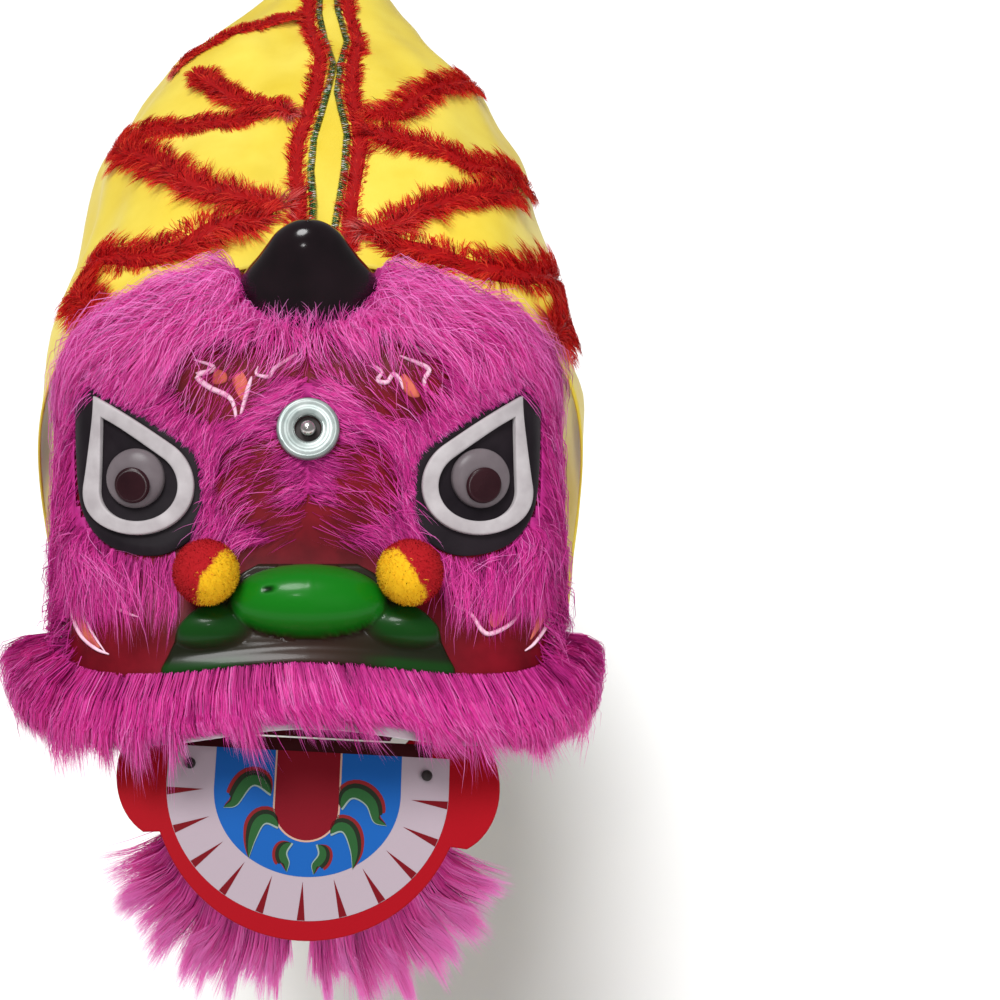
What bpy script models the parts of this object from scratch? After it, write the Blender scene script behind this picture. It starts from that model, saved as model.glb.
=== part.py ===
"""Child's lion dance costume: a moulded lion head with fur, a hung jaw board and a back cloth.

Metres, +Z up. The lion looks along -Y. The origin is the seat on the wearer's crown: the middle of
the underside of the moulded head, where it rests. Each surface is worked out from a short table of
sections, and each piece lies on the head or on the cloth at a named place.
"""

import math

import bmesh
import bpy
import numpy as np
from mathutils import Matrix, Vector

# Clearances, walls and points inside the head and the cloth
SEAT_GAP = 0.0008
HEAD_WALL = 0.003
CLOTH = 0.002
INSIDE_HEAD = (0.0, 0.0, -0.12)
INSIDE_CAPE = (0.0, 0.25, -0.20)
PANEL = 0.0015
PANEL_GAP = 0.0014

# Head sections, from the rear rim over the crown and down the face to the lip. Each runs from its
# middle on the profile (top) to its free edge at the side.
SECTION_COLUMNS = (
    "top_y", "top_z", "side_y", "side_z", "half_width", "squareness", "droop", "forward", "shift",
)
HEAD_SECTIONS = (
    (0.065, -0.011, 0.080, -0.093, 0.135, 3.0, 0.000, 0.0, 0.0),
    (0.000, 0.003, 0.070, -0.123, 0.150, 3.4, 0.000, 0.0, 0.0),
    (-0.050, -0.013, 0.045, -0.153, 0.163, 4.6, 0.000, 0.0, 0.0),
    (-0.089, -0.047, 0.010, -0.173, 0.165, 4.8, 0.000, 0.0, 0.0),
    (-0.120, -0.083, -0.035, -0.180, 0.164, 4.6, 0.000, 0.0, 0.0),
    (-0.150, -0.115, -0.075, -0.181, 0.161, 4.0, 0.000, 0.0, 0.0),
    (-0.190, -0.141, -0.115, -0.181, 0.158, 3.4, -0.010, 0.0, 0.0),
    (-0.228, -0.163, -0.155, -0.179, 0.160, 2.8, -0.022, 0.0, 0.0),
)
HEAD_DIVISIONS = (24, 15)
PROFILE_LENGTH = 0.354

# Gentle rises and hollows of the head's surface, on both sides
RELIEF_COLUMNS = ("centre_x", "centre_v", "reach_x", "reach_v", "height")
HEAD_RELIEF = (
    (0.098, 0.330, 0.050, 0.060, 0.0060),
    (0.104, 0.545, 0.035, 0.100, -0.0030),
    (0.108, 0.800, 0.035, 0.060, 0.0050),
    (0.000, 0.470, 0.050, 0.150, 0.0040),
)

# Back cloth sections, from its front edge on the head to the hem behind
CAPE_SECTIONS = (
    (0.036, 0.0009, -0.010, -0.268, 0.192, 4.20, 0.0, 0.045, 0.001),
    (0.080, 0.0160, 0.070, -0.273, 0.200, 3.60, 0.0, 0.010, 0.003),
    (0.170, 0.043, 0.170, -0.263, 0.205, 3.00, 0.0, 0.000, 0.006),
    (0.270, 0.062, 0.270, -0.253, 0.208, 2.70, 0.0, 0.000, 0.006),
    (0.360, 0.074, 0.360, -0.243, 0.202, 2.20, 0.0, 0.000, 0.006),
    (0.430, 0.083, 0.430, -0.235, 0.170, 1.75, 0.0, 0.000, 0.012),
    (0.482, 0.070, 0.470, -0.232, 0.138, 1.80, 0.0, 0.000, 0.020),
    (0.512, -0.010, 0.488, -0.232, 0.122, 2.00, 0.0, 0.000, 0.022),
    (0.524, -0.123, 0.496, -0.234, 0.110, 2.10, 0.0, 0.000, 0.022),
    (0.528, -0.228, 0.500, -0.236, 0.106, 2.40, 0.0, 0.000, 0.022),
)
CAPE_DIVISIONS = (26, 16)
CAPE_FOLDS = 5
CAPE_REAR_FOLDS = 3
CAPE_FOLD_DEPTH = 0.006

# Eyes: the middle of the left and right eyeball, and outlines from there (out from the nose, up)
EYE_X = 0.104
EYE_V = 0.545
PANEL_OUTLINE = (
    (0.0415, 0.0790), (0.0180, 0.0600), (-0.0080, 0.0440), (-0.0340, 0.0240), (-0.0385, 0.0000),
    (-0.0375, -0.0300), (-0.0140, -0.0490), (0.0180, -0.0420), (0.0370, -0.0130), (0.0420, 0.0330),
)
PANEL_RINGS = (0.40, 0.75, 1.0)
RING_RADIUS = 0.0345
RING_TIP = (0.0260, 0.0620)
RING_WIDTH = 0.0100
RING_INNER_TIP = (0.0225, 0.0485)
RING_HEIGHT = 0.0030
RING_GAP = 0.0015
EYEBALL_OUT = 0.0025
EYEBALL_UP = 0.0065
EYEBALL_RADIUS = 0.0185
EYEBALL_HEIGHT = 0.0070
EYEBALL_GAP = 0.0018
PUPIL_RADIUS = 0.0112
PUPIL_HEIGHT = 0.0022
PUPIL_DROP = 0.0045
PUPIL_GAP = 0.0007

# Horn: half sizes of its foot, the height of its top and its profile as shares of height and foot
HORN_Y = -0.008
HORN_HALF_X = 0.0450
HORN_HALF_Y = 0.0330
HORN_TOP = 0.0520
HORN_WALL = 0.0025
HORN_PROFILE = (
    (0.00, 1.03), (0.06, 1.03), (0.14, 0.99), (0.28, 0.88),
    (0.43, 0.74), (0.61, 0.60), (0.80, 0.45), (0.94, 0.24),
)
HORN_SIDES = 14

# Mirror and its bolt
MIRROR_V = 0.442
MIRROR_RADIUS = 0.0195
MIRROR_HOLE = 0.0082
MIRROR_DEPTH = 0.0060
MIRROR_GAP = 0.0003
BOLT_RADIUS = 0.0050
BOLT_HEIGHT = 0.0095

# Nose: its rows from the top edge to the lower flange (up from the middle, half width)
NOSE_V = 0.800
NOSE_ROWS = (
    (0.0350, 0.030), (0.0290, 0.040), (0.0200, 0.049), (0.0110, 0.058), (0.0030, 0.070),
    (-0.0050, 0.078), (-0.0130, 0.080), (-0.0210, 0.084), (-0.0290, 0.088), (-0.0340, 0.088),
)
NOSE_COLUMNS = 16
NOSE_BASE = 0.0035
SWELLING_COLUMNS = ("x", "up", "half_x", "half_up", "height", "softness")
BULGE = (0.000, 0.0090, 0.0470, 0.0250, 0.0260, 0.5)
WING = (0.060, -0.0040, 0.0200, 0.0130, 0.0120, 0.5)

# Pompoms
POMPOM_X = 0.0600
POMPOM_V = 0.7330
POMPOM_RADIUS = 0.0200
POMPOM_TUFT = 0.0014
POMPOM_LIFT = 0.0051

# Lip: the reach of its fur past the edge, and the binding under it
LIP_ROOT_V = 0.905
LIP_FUR_OUT = 0.026
LIP_FUR_DROP = 0.032
BINDING_DEPTH = 0.007
BINDING_WALL = 0.0012

# Jaw board: its middle, its lean and roll, and its outline
JAW_CENTRE = (0.0, -0.219, -0.224)
JAW_NORMAL_RISE = math.radians(52)
JAW_ROLL = math.radians(-3)
JAW_RADIUS = 0.096
JAW_BOARD = 0.005
JAW_TOP = 0.024
JAW_CLOTH_HALF_WIDTH = 0.050
JAW_CLOTH_GAP = 0.0013
EAR_X = 0.0855
EAR_UP = -0.001
EAR_HALF_WIDTH = 0.033
EAR_HALF_HEIGHT = 0.040
TIE_X = 0.0730
TIE_UP = 0.0050
TIE_HOLE = 0.0026
TIE_HOLE_SIDES = 10
TIE_CORD = 0.0013
TIE_KNOT_PROFILE = (
    (0.0062, 0.3), (0.0055, 1.7), (0.0040, 2.6), (0.0022, 2.5), (0.0007, 2.3), (0.0003, 1.0),
)
TIE_LIP_V = 0.88
TIE_GAP = 0.0004

# Mouth cloth: its upper edge inside the lip, its sag and its wall
MOUTH_CLOTH_DIVISIONS = (11, 4)
MOUTH_CLOTH_HALF_WIDTH = 0.110
MOUTH_CLOTH_V = 0.80
MOUTH_CLOTH_GAP = 0.0012
MOUTH_CLOTH_SAG = 0.012
MOUTH_CLOTH_WALL = 0.0015

# Beard: its root as a share of the board's radius, and its length
BEARD_ROOT = 0.90
BEARD_LENGTH = 0.135

# Trims on the cloth: places are (across, along) on its surface
BRAID_HALF_WIDTH = 0.0020
BRAID_HEIGHT = 0.0016
TRIM_HEIGHT = 0.0080
STRIP_EDGE_RISE = 0.07
SPINE_FUR_HALF_WIDTH = 0.0050
SPINE_COLUMNS = ("along", "fur_left", "braid_left", "braid_right", "fur_right")
SPINE_ROWS = (
    (0.012, -0.0095, 0.0000, 0.0155, 0.0265),
    (0.090, -0.0095, 0.0000, 0.0155, 0.0265),
    (0.130, -0.0095, 0.0000, 0.0175, 0.0270),
    (0.170, -0.0130, -0.0030, 0.0210, 0.0305),
    (0.210, -0.0130, -0.0015, 0.0225, 0.0325),
    (0.240, -0.0065, 0.0035, 0.0180, 0.0280),
    (0.270, -0.0015, 0.0080, 0.0155, 0.0260),
    (0.300, 0.0015, 0.0115, 0.0180, 0.0285),
    (0.325, 0.0035, 0.0135, 0.0190, 0.0295),
    (0.375, -0.0025, 0.0070, 0.0255, 0.0355),
    (0.4375, -0.0055, 0.0035, 0.0190, 0.0280),
    (0.5000, -0.0070, 0.0020, 0.0160, 0.0250),
    (0.5625, -0.0120, -0.0030, 0.0100, 0.0190),
    (0.6250, -0.0145, -0.0055, 0.0055, 0.0145),
)
SPINE_END = 0.970

ZIGZAG_HALF_WIDTH = 0.0085
ZIGZAG_STEP = 0.022
ZIGZAG_TUFT = 0.30
ZIGZAGS_LEFT = (
    ((-0.060, 0.430), (-0.120, 0.405), (-0.250, 0.388), (-0.330, 0.375)),
    ((-0.270, 0.325), (-0.215, 0.290), (-0.140, 0.263), (-0.070, 0.243)),
    ((-0.155, 0.245), (-0.280, 0.250), (-0.380, 0.269), (-0.470, 0.300)),
    ((-0.420, 0.254), (-0.290, 0.171), (-0.200, 0.139), (-0.085, 0.124)),
    ((-0.117, 0.102), (-0.210, 0.097), (-0.280, 0.077), (-0.360, 0.080), (-0.470, 0.122)),
    ((-0.448, 0.080), (-0.4615, 0.0625), (-0.425, 0.010)),
)
ZIGZAGS_RIGHT = (
    ((0.128, 0.239), (0.190, 0.251), (0.230, 0.283), (0.330, 0.341), (0.400, 0.390)),
    ((0.138, 0.213), (0.250, 0.202), (0.360, 0.204), (0.500, 0.264)),
    ((0.437, 0.200), (0.373, 0.169), (0.280, 0.137), (0.220, 0.117), (0.130, 0.083)),
    ((0.172, 0.072), (0.280, 0.060), (0.365, 0.058), (0.457, 0.096), (0.560, 0.165)),
    ((0.550, 0.113), (0.525, 0.070), (0.497, 0.025)),
)

COLOURS = {
    "shell_red": (0.20, 0.010, 0.020, 0.35, 0.0),
    "fur_magenta": (0.58, 0.035, 0.36, 0.85, 0.0),
    "fur_red": (0.55, 0.010, 0.015, 0.85, 0.0),
    "cloth_yellow": (0.87, 0.68, 0.06, 0.50, 0.0),
    "horn_black": (0.010, 0.008, 0.010, 0.15, 0.0),
    "panel_black": (0.012, 0.010, 0.012, 0.35, 0.0),
    "ring_white": (0.62, 0.58, 0.58, 0.40, 0.0),
    "eye_grey": (0.22, 0.19, 0.20, 0.25, 0.0),
    "pupil_brown": (0.035, 0.010, 0.014, 0.20, 0.0),
    "nose_green": (0.010, 0.20, 0.012, 0.18, 0.0),
    "metal": (0.60, 0.61, 0.63, 0.25, 1.0),
    "pompom_red": (0.50, 0.012, 0.020, 0.90, 0.0),
    "board_red": (0.45, 0.010, 0.025, 0.30, 0.0),
    "braid_gold": (0.30, 0.34, 0.16, 0.35, 0.6),
    "binding_white": (0.55, 0.50, 0.53, 0.70, 0.0),
    "cloth_maroon": (0.10, 0.008, 0.016, 0.70, 0.0),
    "cord_black": (0.015, 0.013, 0.013, 0.60, 0.0),
}


def clear_scene():
    for item in list(bpy.data.objects):
        bpy.data.objects.remove(item, do_unlink=True)


def collection(name):
    group = bpy.data.collections.new(name)
    bpy.context.scene.collection.children.link(group)
    return group


def material(name):
    red, green, blue, roughness, metallic = COLOURS[name]
    made = bpy.data.materials.get(name) or bpy.data.materials.new(name)
    made.use_nodes = True
    shader = made.node_tree.nodes["Principled BSDF"]
    shader.inputs["Base Color"].default_value = (red, green, blue, 1.0)
    shader.inputs["Roughness"].default_value = roughness
    shader.inputs["Metallic"].default_value = metallic
    return made


# Surfaces worked out from the tables

def section_at(sections, v):
    """One smooth section at share v of the way down the table (Catmull-Rom)."""
    table = np.array(sections)
    last = len(table) - 1
    place = min(max(v, 0.0), 1.0) * last
    index = min(int(place), last - 1)
    share = place - index
    here, ahead = table[index], table[index + 1]
    before = table[index - 1] if index > 0 else 2 * here - ahead
    after = table[index + 2] if index + 2 <= last else 2 * ahead - here
    slope = ahead - before
    bend = 2 * before - 5 * here + 4 * ahead - after
    twist = 3 * here - before - 3 * ahead + after
    row = 0.5 * (2 * here + slope * share + bend * share**2 + twist * share**3)
    return dict(zip(SECTION_COLUMNS, row))


def hood_point(sections, u, v):
    """A point of a hood: u from -1 to 1 across, v from 0 to 1 down the table of sections."""
    row = section_at(sections, v)
    angle = u * math.pi / 2
    side, top = math.sin(angle), max(math.cos(angle), 0.0)
    power = row["squareness"]
    radius = (abs(side) ** power + top ** power) ** (-1 / power)
    bow = math.sin(math.pi * abs(u)) ** 2
    height = radius * top
    return np.array((
        row["shift"] + row["half_width"] * radius * side,
        row["side_y"] + (row["top_y"] - row["side_y"]) * height - row["forward"] * bow,
        row["side_z"] + (row["top_z"] - row["side_z"]) * height + row["droop"] * bow,
    ))


def steepness(surface, u, v):
    """The cross product of a surface's two directions at (u, v), as a unit vector."""
    step = 0.004
    u0, u1 = max(u - step, -1.0), min(u + step, 1.0)
    v0, v1 = max(v - step, 0.0), min(v + step, 1.0)
    normal = np.cross(surface(u, v1) - surface(u, v0), surface(u1, v) - surface(u0, v))
    return normal / np.linalg.norm(normal)


def plain_head(u, v):
    return hood_point(HEAD_SECTIONS, u, v)


def plain_cape(u, v):
    return hood_point(CAPE_SECTIONS, u, v)


def head_surface(u, v):
    point = plain_head(u, v)
    rise = 0.0
    for values in HEAD_RELIEF:
        bump = dict(zip(RELIEF_COLUMNS, values))
        across = (abs(point[0]) - bump["centre_x"]) / bump["reach_x"]
        along = (v - bump["centre_v"]) / bump["reach_v"]
        rise += bump["height"] * math.exp(-across**2 - along**2)
    return point + steepness(plain_head, u, v) * rise


def cape_surface(u, v):
    """The cloth, with upright folds that deepen towards its hem."""
    point = plain_cape(u, v)
    low = min(max((abs(u) - 0.55) / 0.45, 0.0), 1.0)
    behind = min(max((v - 0.72) / 0.28, 0.0), 1.0) * min(max((abs(u) - 0.22) / 0.20, 0.0), 1.0)
    sides = low * math.sin(2 * math.pi * CAPE_FOLDS * v + (0.8 if u > 0 else 0.0))
    rear = behind * (1 - low) * math.sin(2 * math.pi * CAPE_REAR_FOLDS * u)
    return point - steepness(plain_cape, u, v) * CAPE_FOLD_DEPTH * (sides + rear)


def head_normal(u, v):
    return steepness(head_surface, u, v)


def cape_normal(u, v):
    return -steepness(cape_surface, u, v)


def above_head(u, v, lift):
    return head_surface(u, v) + head_normal(u, v) * lift


def above_cape(u, v, lift):
    return cape_surface(u, v) + cape_normal(u, v) * lift


def u_of_x(x, v):
    """Where the head's section at v stands x from the middle, on its front."""
    row = section_at(HEAD_SECTIONS, v)
    share = min(abs(x) / row["half_width"], 0.999)
    power = row["squareness"]
    slope = (share**power / (1 - share**power)) ** (1 / power)
    return math.copysign(math.atan(slope) * 2 / math.pi, x)


def head_at(x, v, lift):
    return above_head(u_of_x(x, v), v, lift)


def head_frame(x, v):
    """A place on the head with its directions across (+X side), up the slope and out."""
    u = u_of_x(x, v)
    out = head_normal(u, v)
    up = head_surface(u, v - 0.01) - head_surface(u, v + 0.01)
    up -= out * up.dot(out)
    up /= np.linalg.norm(up)
    return head_surface(u, v), np.cross(up, out), up, out


# Meshes

def add_object(name, vertices, faces, colour, group):
    mesh = bpy.data.meshes.new(name)
    mesh.from_pydata([tuple(float(part) for part in vertex) for vertex in vertices], [], faces)
    shaped = bmesh.new()
    shaped.from_mesh(mesh)
    bmesh.ops.recalc_face_normals(shaped, faces=shaped.faces)
    shaped.to_mesh(mesh)
    shaped.free()
    mesh.shade_smooth()
    mesh.set_sharp_from_angle(angle=math.radians(50))
    mesh.materials.append(material(colour))
    made = bpy.data.objects.new(name, mesh)
    group.objects.link(made)
    return made


def grid_faces(columns, rows, wrap=False):
    """Quads of a grid of points that is stored row by row."""
    across = columns if wrap else columns - 1
    faces = []
    for row in range(rows - 1):
        for column in range(across):
            following = (column + 1) % columns
            near, far = row * columns, (row + 1) * columns
            faces.append((near + column, near + following, far + following, far + column))
    return faces


def face_outward(made, inside):
    """Turns an open sheet's faces away from a point inside it."""
    mesh = made.data
    total = 0.0
    for face in mesh.polygons:
        total += face.normal.dot(face.center - Vector(inside)) * face.area
    if total < 0:
        mesh.flip_normals()


def thicken(made, thickness):
    """A wall that grows inwards from an open sheet."""
    wall = made.modifiers.new("wall", "SOLIDIFY")
    wall.thickness = thickness
    wall.offset = -1.0
    return made


def hood_sheet(name, surface, divisions, thickness, inside, colour, group):
    """A whole hood as an open sheet with a wall."""
    columns, rows = divisions[0] + 1, divisions[1] + 1
    points = []
    for row in range(rows):
        for column in range(columns):
            u = 2 * column / divisions[0] - 1
            points.append(surface(u, row / divisions[1]))
    made = add_object(name, points, grid_faces(columns, rows), colour, group)
    face_outward(made, inside)
    return thicken(made, thickness)


def closed_loft(name, loops, colour, group):
    """A closed body through equal loops of points, with flat strips over its first and last loop."""
    size = len(loops[0])
    points = [point for loop in loops for point in loop]
    faces = grid_faces(size, len(loops), wrap=True)
    faces.append(tuple(range(size)))
    faces.append(tuple(range((len(loops) - 1) * size, len(loops) * size)))
    return add_object(name, points, faces, colour, group)


def lock_band(name, path, locks, depths, colour, group, valley=0.80):
    """Fur as a row of pointed locks on one backing, with the depth of its first and its last lock.

    path(t, s) gives the underside and its outward direction, t along the row and s down the locks.
    """
    shares = (0.0, 0.35, 0.70, 1.0)
    heights = (0.55, 1.0, 0.70, 0.0)
    loops = []
    for column in range(2 * locks + 1):
        t = column / (2 * locks)
        ridge = column % 2 == 1
        reach = 1.0 if ridge else valley
        deep = (depths[0] * (1 - t) + depths[1] * t) * (1.0 if ridge else 0.45)
        over, under = [], []
        for share, height in zip(shares, heights):
            point, out = path(t, share * reach)
            under.append(point)
            over.append(point + out * deep * height)
        loops.append(over + under[-2::-1])
    return band_of_loops(name, loops, len(shares), colour, group)


def band_of_loops(name, loops, half, colour, group):
    """A row of lock sections, closed at both ends by strips between upper and lower side."""
    size = len(loops[0])
    points = [point for loop in loops for point in loop]
    faces = grid_faces(size, len(loops), wrap=True)
    for start in (0, (len(loops) - 1) * size):
        for step in range(half - 2):
            lower = size - 1 - step
            faces.append((start + step, start + step + 1, start + lower - 1, start + lower))
        faces.append((start + half - 2, start + half - 1, start + half))
    return add_object(name, points, faces, colour, group)


def blend_rows(rows, t):
    """Straight blend between rows of numbers, t from 0 to 1 along them."""
    table = np.array(rows)
    place = min(max(t, 0.0), 1.0) * (len(table) - 1)
    index = min(int(place), len(table) - 2)
    share = place - index
    return table[index] * (1 - share) + table[index + 1] * share


def head_path(roots, tips, gap, rise, side):
    """Locks that lie on the head from a root line to a tip line, both in (x, v)."""
    def path(t, s):
        root, tip = blend_rows(roots, t), blend_rows(tips, t)
        x, v = root * (1 - s) + tip * s
        u = u_of_x(side * x, v)
        return above_head(u, v, gap + rise * s**2), head_normal(u, v)
    return path


# Pieces of the head

def build_shell(group):
    return hood_sheet("head_shell", head_surface, HEAD_DIVISIONS, HEAD_WALL, INSIDE_HEAD, "shell_red", group)


def build_horn(group):
    """A rounded black cone whose foot follows the crown, open underneath."""
    def ring(share, scale, inset):
        points = []
        for step in range(HORN_SIDES):
            angle = 2 * math.pi * step / HORN_SIDES
            x = math.cos(angle) * max(HORN_HALF_X * scale - inset, 0.0005)
            y = HORN_Y + math.sin(angle) * max(HORN_HALF_Y * scale - inset, 0.0005)
            foot = crown_height(x, y) + SEAT_GAP
            points.append((x, y, foot * (1 - share) + HORN_TOP * share))
        return points
    outside = [ring(share, scale, 0.0) for share, scale in HORN_PROFILE] + [ring(1.0, 0.03, 0.0)]
    inner = [ring(share * 0.95, scale, HORN_WALL) for share, scale in HORN_PROFILE] + [ring(0.95, 0.03, 0.0)]
    loops = outside[::-1] + inner
    return closed_loft("horn", loops, "horn_black", group)


def crown_height(x, y):
    """The head's height over (x, y) near the crown, found by halving the share along the profile."""
    low, high = 0.0, 0.45
    for _ in range(24):
        middle = (low + high) / 2
        if head_surface(u_of_x(x, middle) if x else 0.0, middle)[1] > y:
            low = middle
        else:
            high = middle
    return head_surface(u_of_x(x, low) if x else 0.0, low)[2]


def frame_matrix(frame):
    """The matrix of a frame given as its place and its directions across, up and out."""
    place, across, up, out = frame
    return Matrix((
        (across[0], up[0], out[0], place[0]),
        (across[1], up[1], out[1], place[1]),
        (across[2], up[2], out[2], place[2]),
        (0.0, 0.0, 0.0, 1.0),
    ))


def turned(name, profile, sides, frame, colour, group):
    """A turned solid: a profile of (radius, height) swept round the direction out."""
    mesh = bpy.data.meshes.new(name)
    points = [(radius, 0.0, height) for radius, height in profile]
    edges = [(index, index + 1) for index in range(len(points) - 1)]
    if profile[0][0] > 0:
        edges.append((len(points) - 1, 0))
    mesh.from_pydata(points, edges, [])
    mesh.materials.append(material(colour))
    made = bpy.data.objects.new(name, mesh)
    group.objects.link(made)
    turn = made.modifiers.new("turn", "SCREW")
    turn.steps = sides
    turn.render_steps = sides
    turn.use_merge_vertices = True
    turn.merge_threshold = 0.00005
    turn.use_smooth_shade = True
    made.matrix_world = frame_matrix(frame)
    return made


def build_mirror(group):
    place, across, up, out = head_frame(0.0, MIRROR_V)
    rim, hole, deep = MIRROR_RADIUS, MIRROR_HOLE, MIRROR_DEPTH
    foot = place + out * MIRROR_GAP
    disc = (
        (rim - 0.001, deep), (rim, deep - 0.001), (rim, 0.0), (hole, 0.0),
        (hole, deep - 0.0015), (rim - 0.004, deep - 0.0015), (rim - 0.003, deep),
    )
    bolt = (
        (0.0, BOLT_HEIGHT), (BOLT_RADIUS * 0.6, BOLT_HEIGHT - 0.0008), (BOLT_RADIUS, BOLT_HEIGHT - 0.004),
        (BOLT_RADIUS, 0.0), (0.0, 0.0),
    )
    turned("mirror_disc", disc, 20, (foot, across, up, out), "metal", group)
    turned("mirror_bolt", bolt, 12, (foot, across, up, out), "metal", group)


def closed_curve(points, samples):
    """Points evenly spread in number over a closed Catmull-Rom curve that keeps its first corner."""
    table = np.array(points)
    count = len(table)
    result = []
    for step in range(samples):
        place = step * count / samples
        index = int(place)
        share = place - index
        here, ahead = table[index % count], table[(index + 1) % count]
        before = table[(index - 1) % count] if index % count else here
        after = table[(index + 2) % count] if (index + 1) % count else ahead
        row = 0.5 * (
            2 * here + (ahead - before) * share + (2 * before - 5 * here + 4 * ahead - after) * share**2
            + (3 * here - before - 3 * ahead + after) * share**3
        )
        result.append(row)
    return result


def teardrop(radius, tip, samples):
    """A circle about the eye's middle drawn out to a tip by its two tangents."""
    reach = math.hypot(*tip)
    aim = math.atan2(tip[1], tip[0])
    half = math.acos(radius / reach)
    points = []
    straight = 2
    start, end = aim + half, aim - half + 2 * math.pi
    arc = samples - 2 * straight
    for step in range(straight):
        share = step / straight
        edge = (radius * math.cos(start), radius * math.sin(start))
        points.append((tip[0] * (1 - share) + edge[0] * share, tip[1] * (1 - share) + edge[1] * share))
    for step in range(arc):
        angle = start + (end - start) * step / (arc - 1)
        points.append((radius * math.cos(angle), radius * math.sin(angle)))
    for step in range(1, straight + 1):
        share = step / (straight + 1)
        edge = (radius * math.cos(end), radius * math.sin(end))
        points.append((edge[0] * (1 - share) + tip[0] * share, edge[1] * (1 - share) + tip[1] * share))
    return points


def eye_point(side, out, up, lift):
    """A place on the face from the eye's middle: out from the nose, and up the slope."""
    return head_at(side * (EYE_X + out), EYE_V - up / PROFILE_LENGTH, lift)


def build_eye_panel(side, label, group):
    lift = PANEL_GAP + PANEL
    outline = closed_curve(PANEL_OUTLINE, 24)
    points = [eye_point(side, 0.0, 0.0, lift)]
    for share in PANEL_RINGS:
        points += [eye_point(side, out * share, up * share, lift) for out, up in outline]
    count = len(outline)
    faces = [(0, 1 + step, 1 + (step + 1) % count) for step in range(count)]
    faces += [tuple(index + 1 for index in face) for face in grid_faces(count, len(PANEL_RINGS), wrap=True)]
    panel = add_object("eye_panel_" + label, points, faces, "panel_black", group)
    face_outward(panel, INSIDE_HEAD)
    return thicken(panel, PANEL)


def build_eye_ring(side, label, group):
    """A teardrop frame with a rounded top, drawn out to a tip away from the nose."""
    samples = 20
    outer = teardrop(RING_RADIUS, RING_TIP, samples)
    inner = teardrop(RING_RADIUS - RING_WIDTH, RING_INNER_TIP, samples)
    middle = [((a[0] + b[0]) / 2, (a[1] + b[1]) / 2) for a, b in zip(outer, inner)]
    seat = PANEL_GAP + PANEL + RING_GAP
    shoulder = seat + RING_HEIGHT * 0.6
    rows = ((outer, shoulder), (middle, seat + RING_HEIGHT), (inner, shoulder), (inner, seat), (outer, seat))
    loops = [[eye_point(side, out, up, lift) for out, up in outline] for outline, lift in rows]
    points = [point for loop in loops for point in loop]
    faces = grid_faces(samples, len(rows), wrap=True)
    last = (len(rows) - 1) * samples
    for step in range(samples):
        following = (step + 1) % samples
        faces.append((step, following, last + following, last + step))
    return add_object("eye_ring_" + label, points, faces, "ring_white", group)


def build_eyeball(side, label, group):
    """A low dome with a thin dark disc on its lower half."""
    x, v = side * (EYE_X + EYEBALL_OUT), EYE_V - EYEBALL_UP / PROFILE_LENGTH
    place, across, up, out = head_frame(x, v)
    radius, height = EYEBALL_RADIUS, EYEBALL_HEIGHT
    foot = place + out * (PANEL_GAP + PANEL + EYEBALL_GAP)
    wall = 0.001
    ball = [(0.0, height)]
    for angle in (0.45, 0.85, 1.2, math.pi / 2):
        ball.append((radius * math.sin(angle), wall + (height - wall) * math.cos(angle)))
    ball += [(radius, 0.0), (0.0, 0.0)]
    turned("eyeball_" + label, ball, 14, (foot, across, up, out), "eye_grey", group)
    tilt = math.asin(PUPIL_DROP / radius) * 0.8
    aim = out * math.cos(tilt) - up * math.sin(tilt)
    raised = up * math.cos(tilt) + out * math.sin(tilt)
    seat = foot - up * PUPIL_DROP + out * height + aim * PUPIL_GAP
    thin, rim = PUPIL_HEIGHT, PUPIL_HEIGHT * 0.3
    disc = (
        (0.0, thin), (PUPIL_RADIUS * 0.7, thin * 0.85), (PUPIL_RADIUS, rim), (PUPIL_RADIUS, 0.0), (0.0, 0.0),
    )
    turned("pupil_" + label, disc, 12, (seat, across, raised, aim), "pupil_brown", group)


def swelling(across, along, values):
    """Height of a rounded swelling at (across, along)."""
    shape = dict(zip(SWELLING_COLUMNS, values))
    reach = ((abs(across) - shape["x"]) / shape["half_x"]) ** 2
    reach += ((along - shape["up"]) / shape["half_up"]) ** 2
    return shape["height"] * max(1 - reach, 0.0) ** shape["softness"]


def build_nose(group):
    """One moulded piece: a round bulge, two side wings and a flange under them."""
    over, under = [], []
    for up, half_width in NOSE_ROWS:
        v = NOSE_V - up / PROFILE_LENGTH
        for column in range(NOSE_COLUMNS + 1):
            x = half_width * (2 * column / NOSE_COLUMNS - 1)
            rise = (swelling(x, up, BULGE) ** 4 + swelling(x, up, WING) ** 4) ** 0.25
            under.append(head_at(x, v, SEAT_GAP))
            over.append(head_at(x, v, SEAT_GAP + NOSE_BASE + rise))
    columns, count = NOSE_COLUMNS + 1, len(NOSE_ROWS)
    faces = grid_faces(columns, count)
    size = len(over)
    faces += [tuple(index + size for index in reversed(face)) for face in faces]
    edge = list(range(columns))
    edge += [row * columns + columns - 1 for row in range(1, count)]
    edge += [(count - 1) * columns + index for index in range(columns - 2, -1, -1)]
    edge += [row * columns for row in range(count - 2, 0, -1)]
    for index, here in enumerate(edge):
        following = edge[(index + 1) % len(edge)]
        faces.append((here, following, following + size, here + size))
    return add_object("nose", over + under, faces, "nose_green", group)


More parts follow.
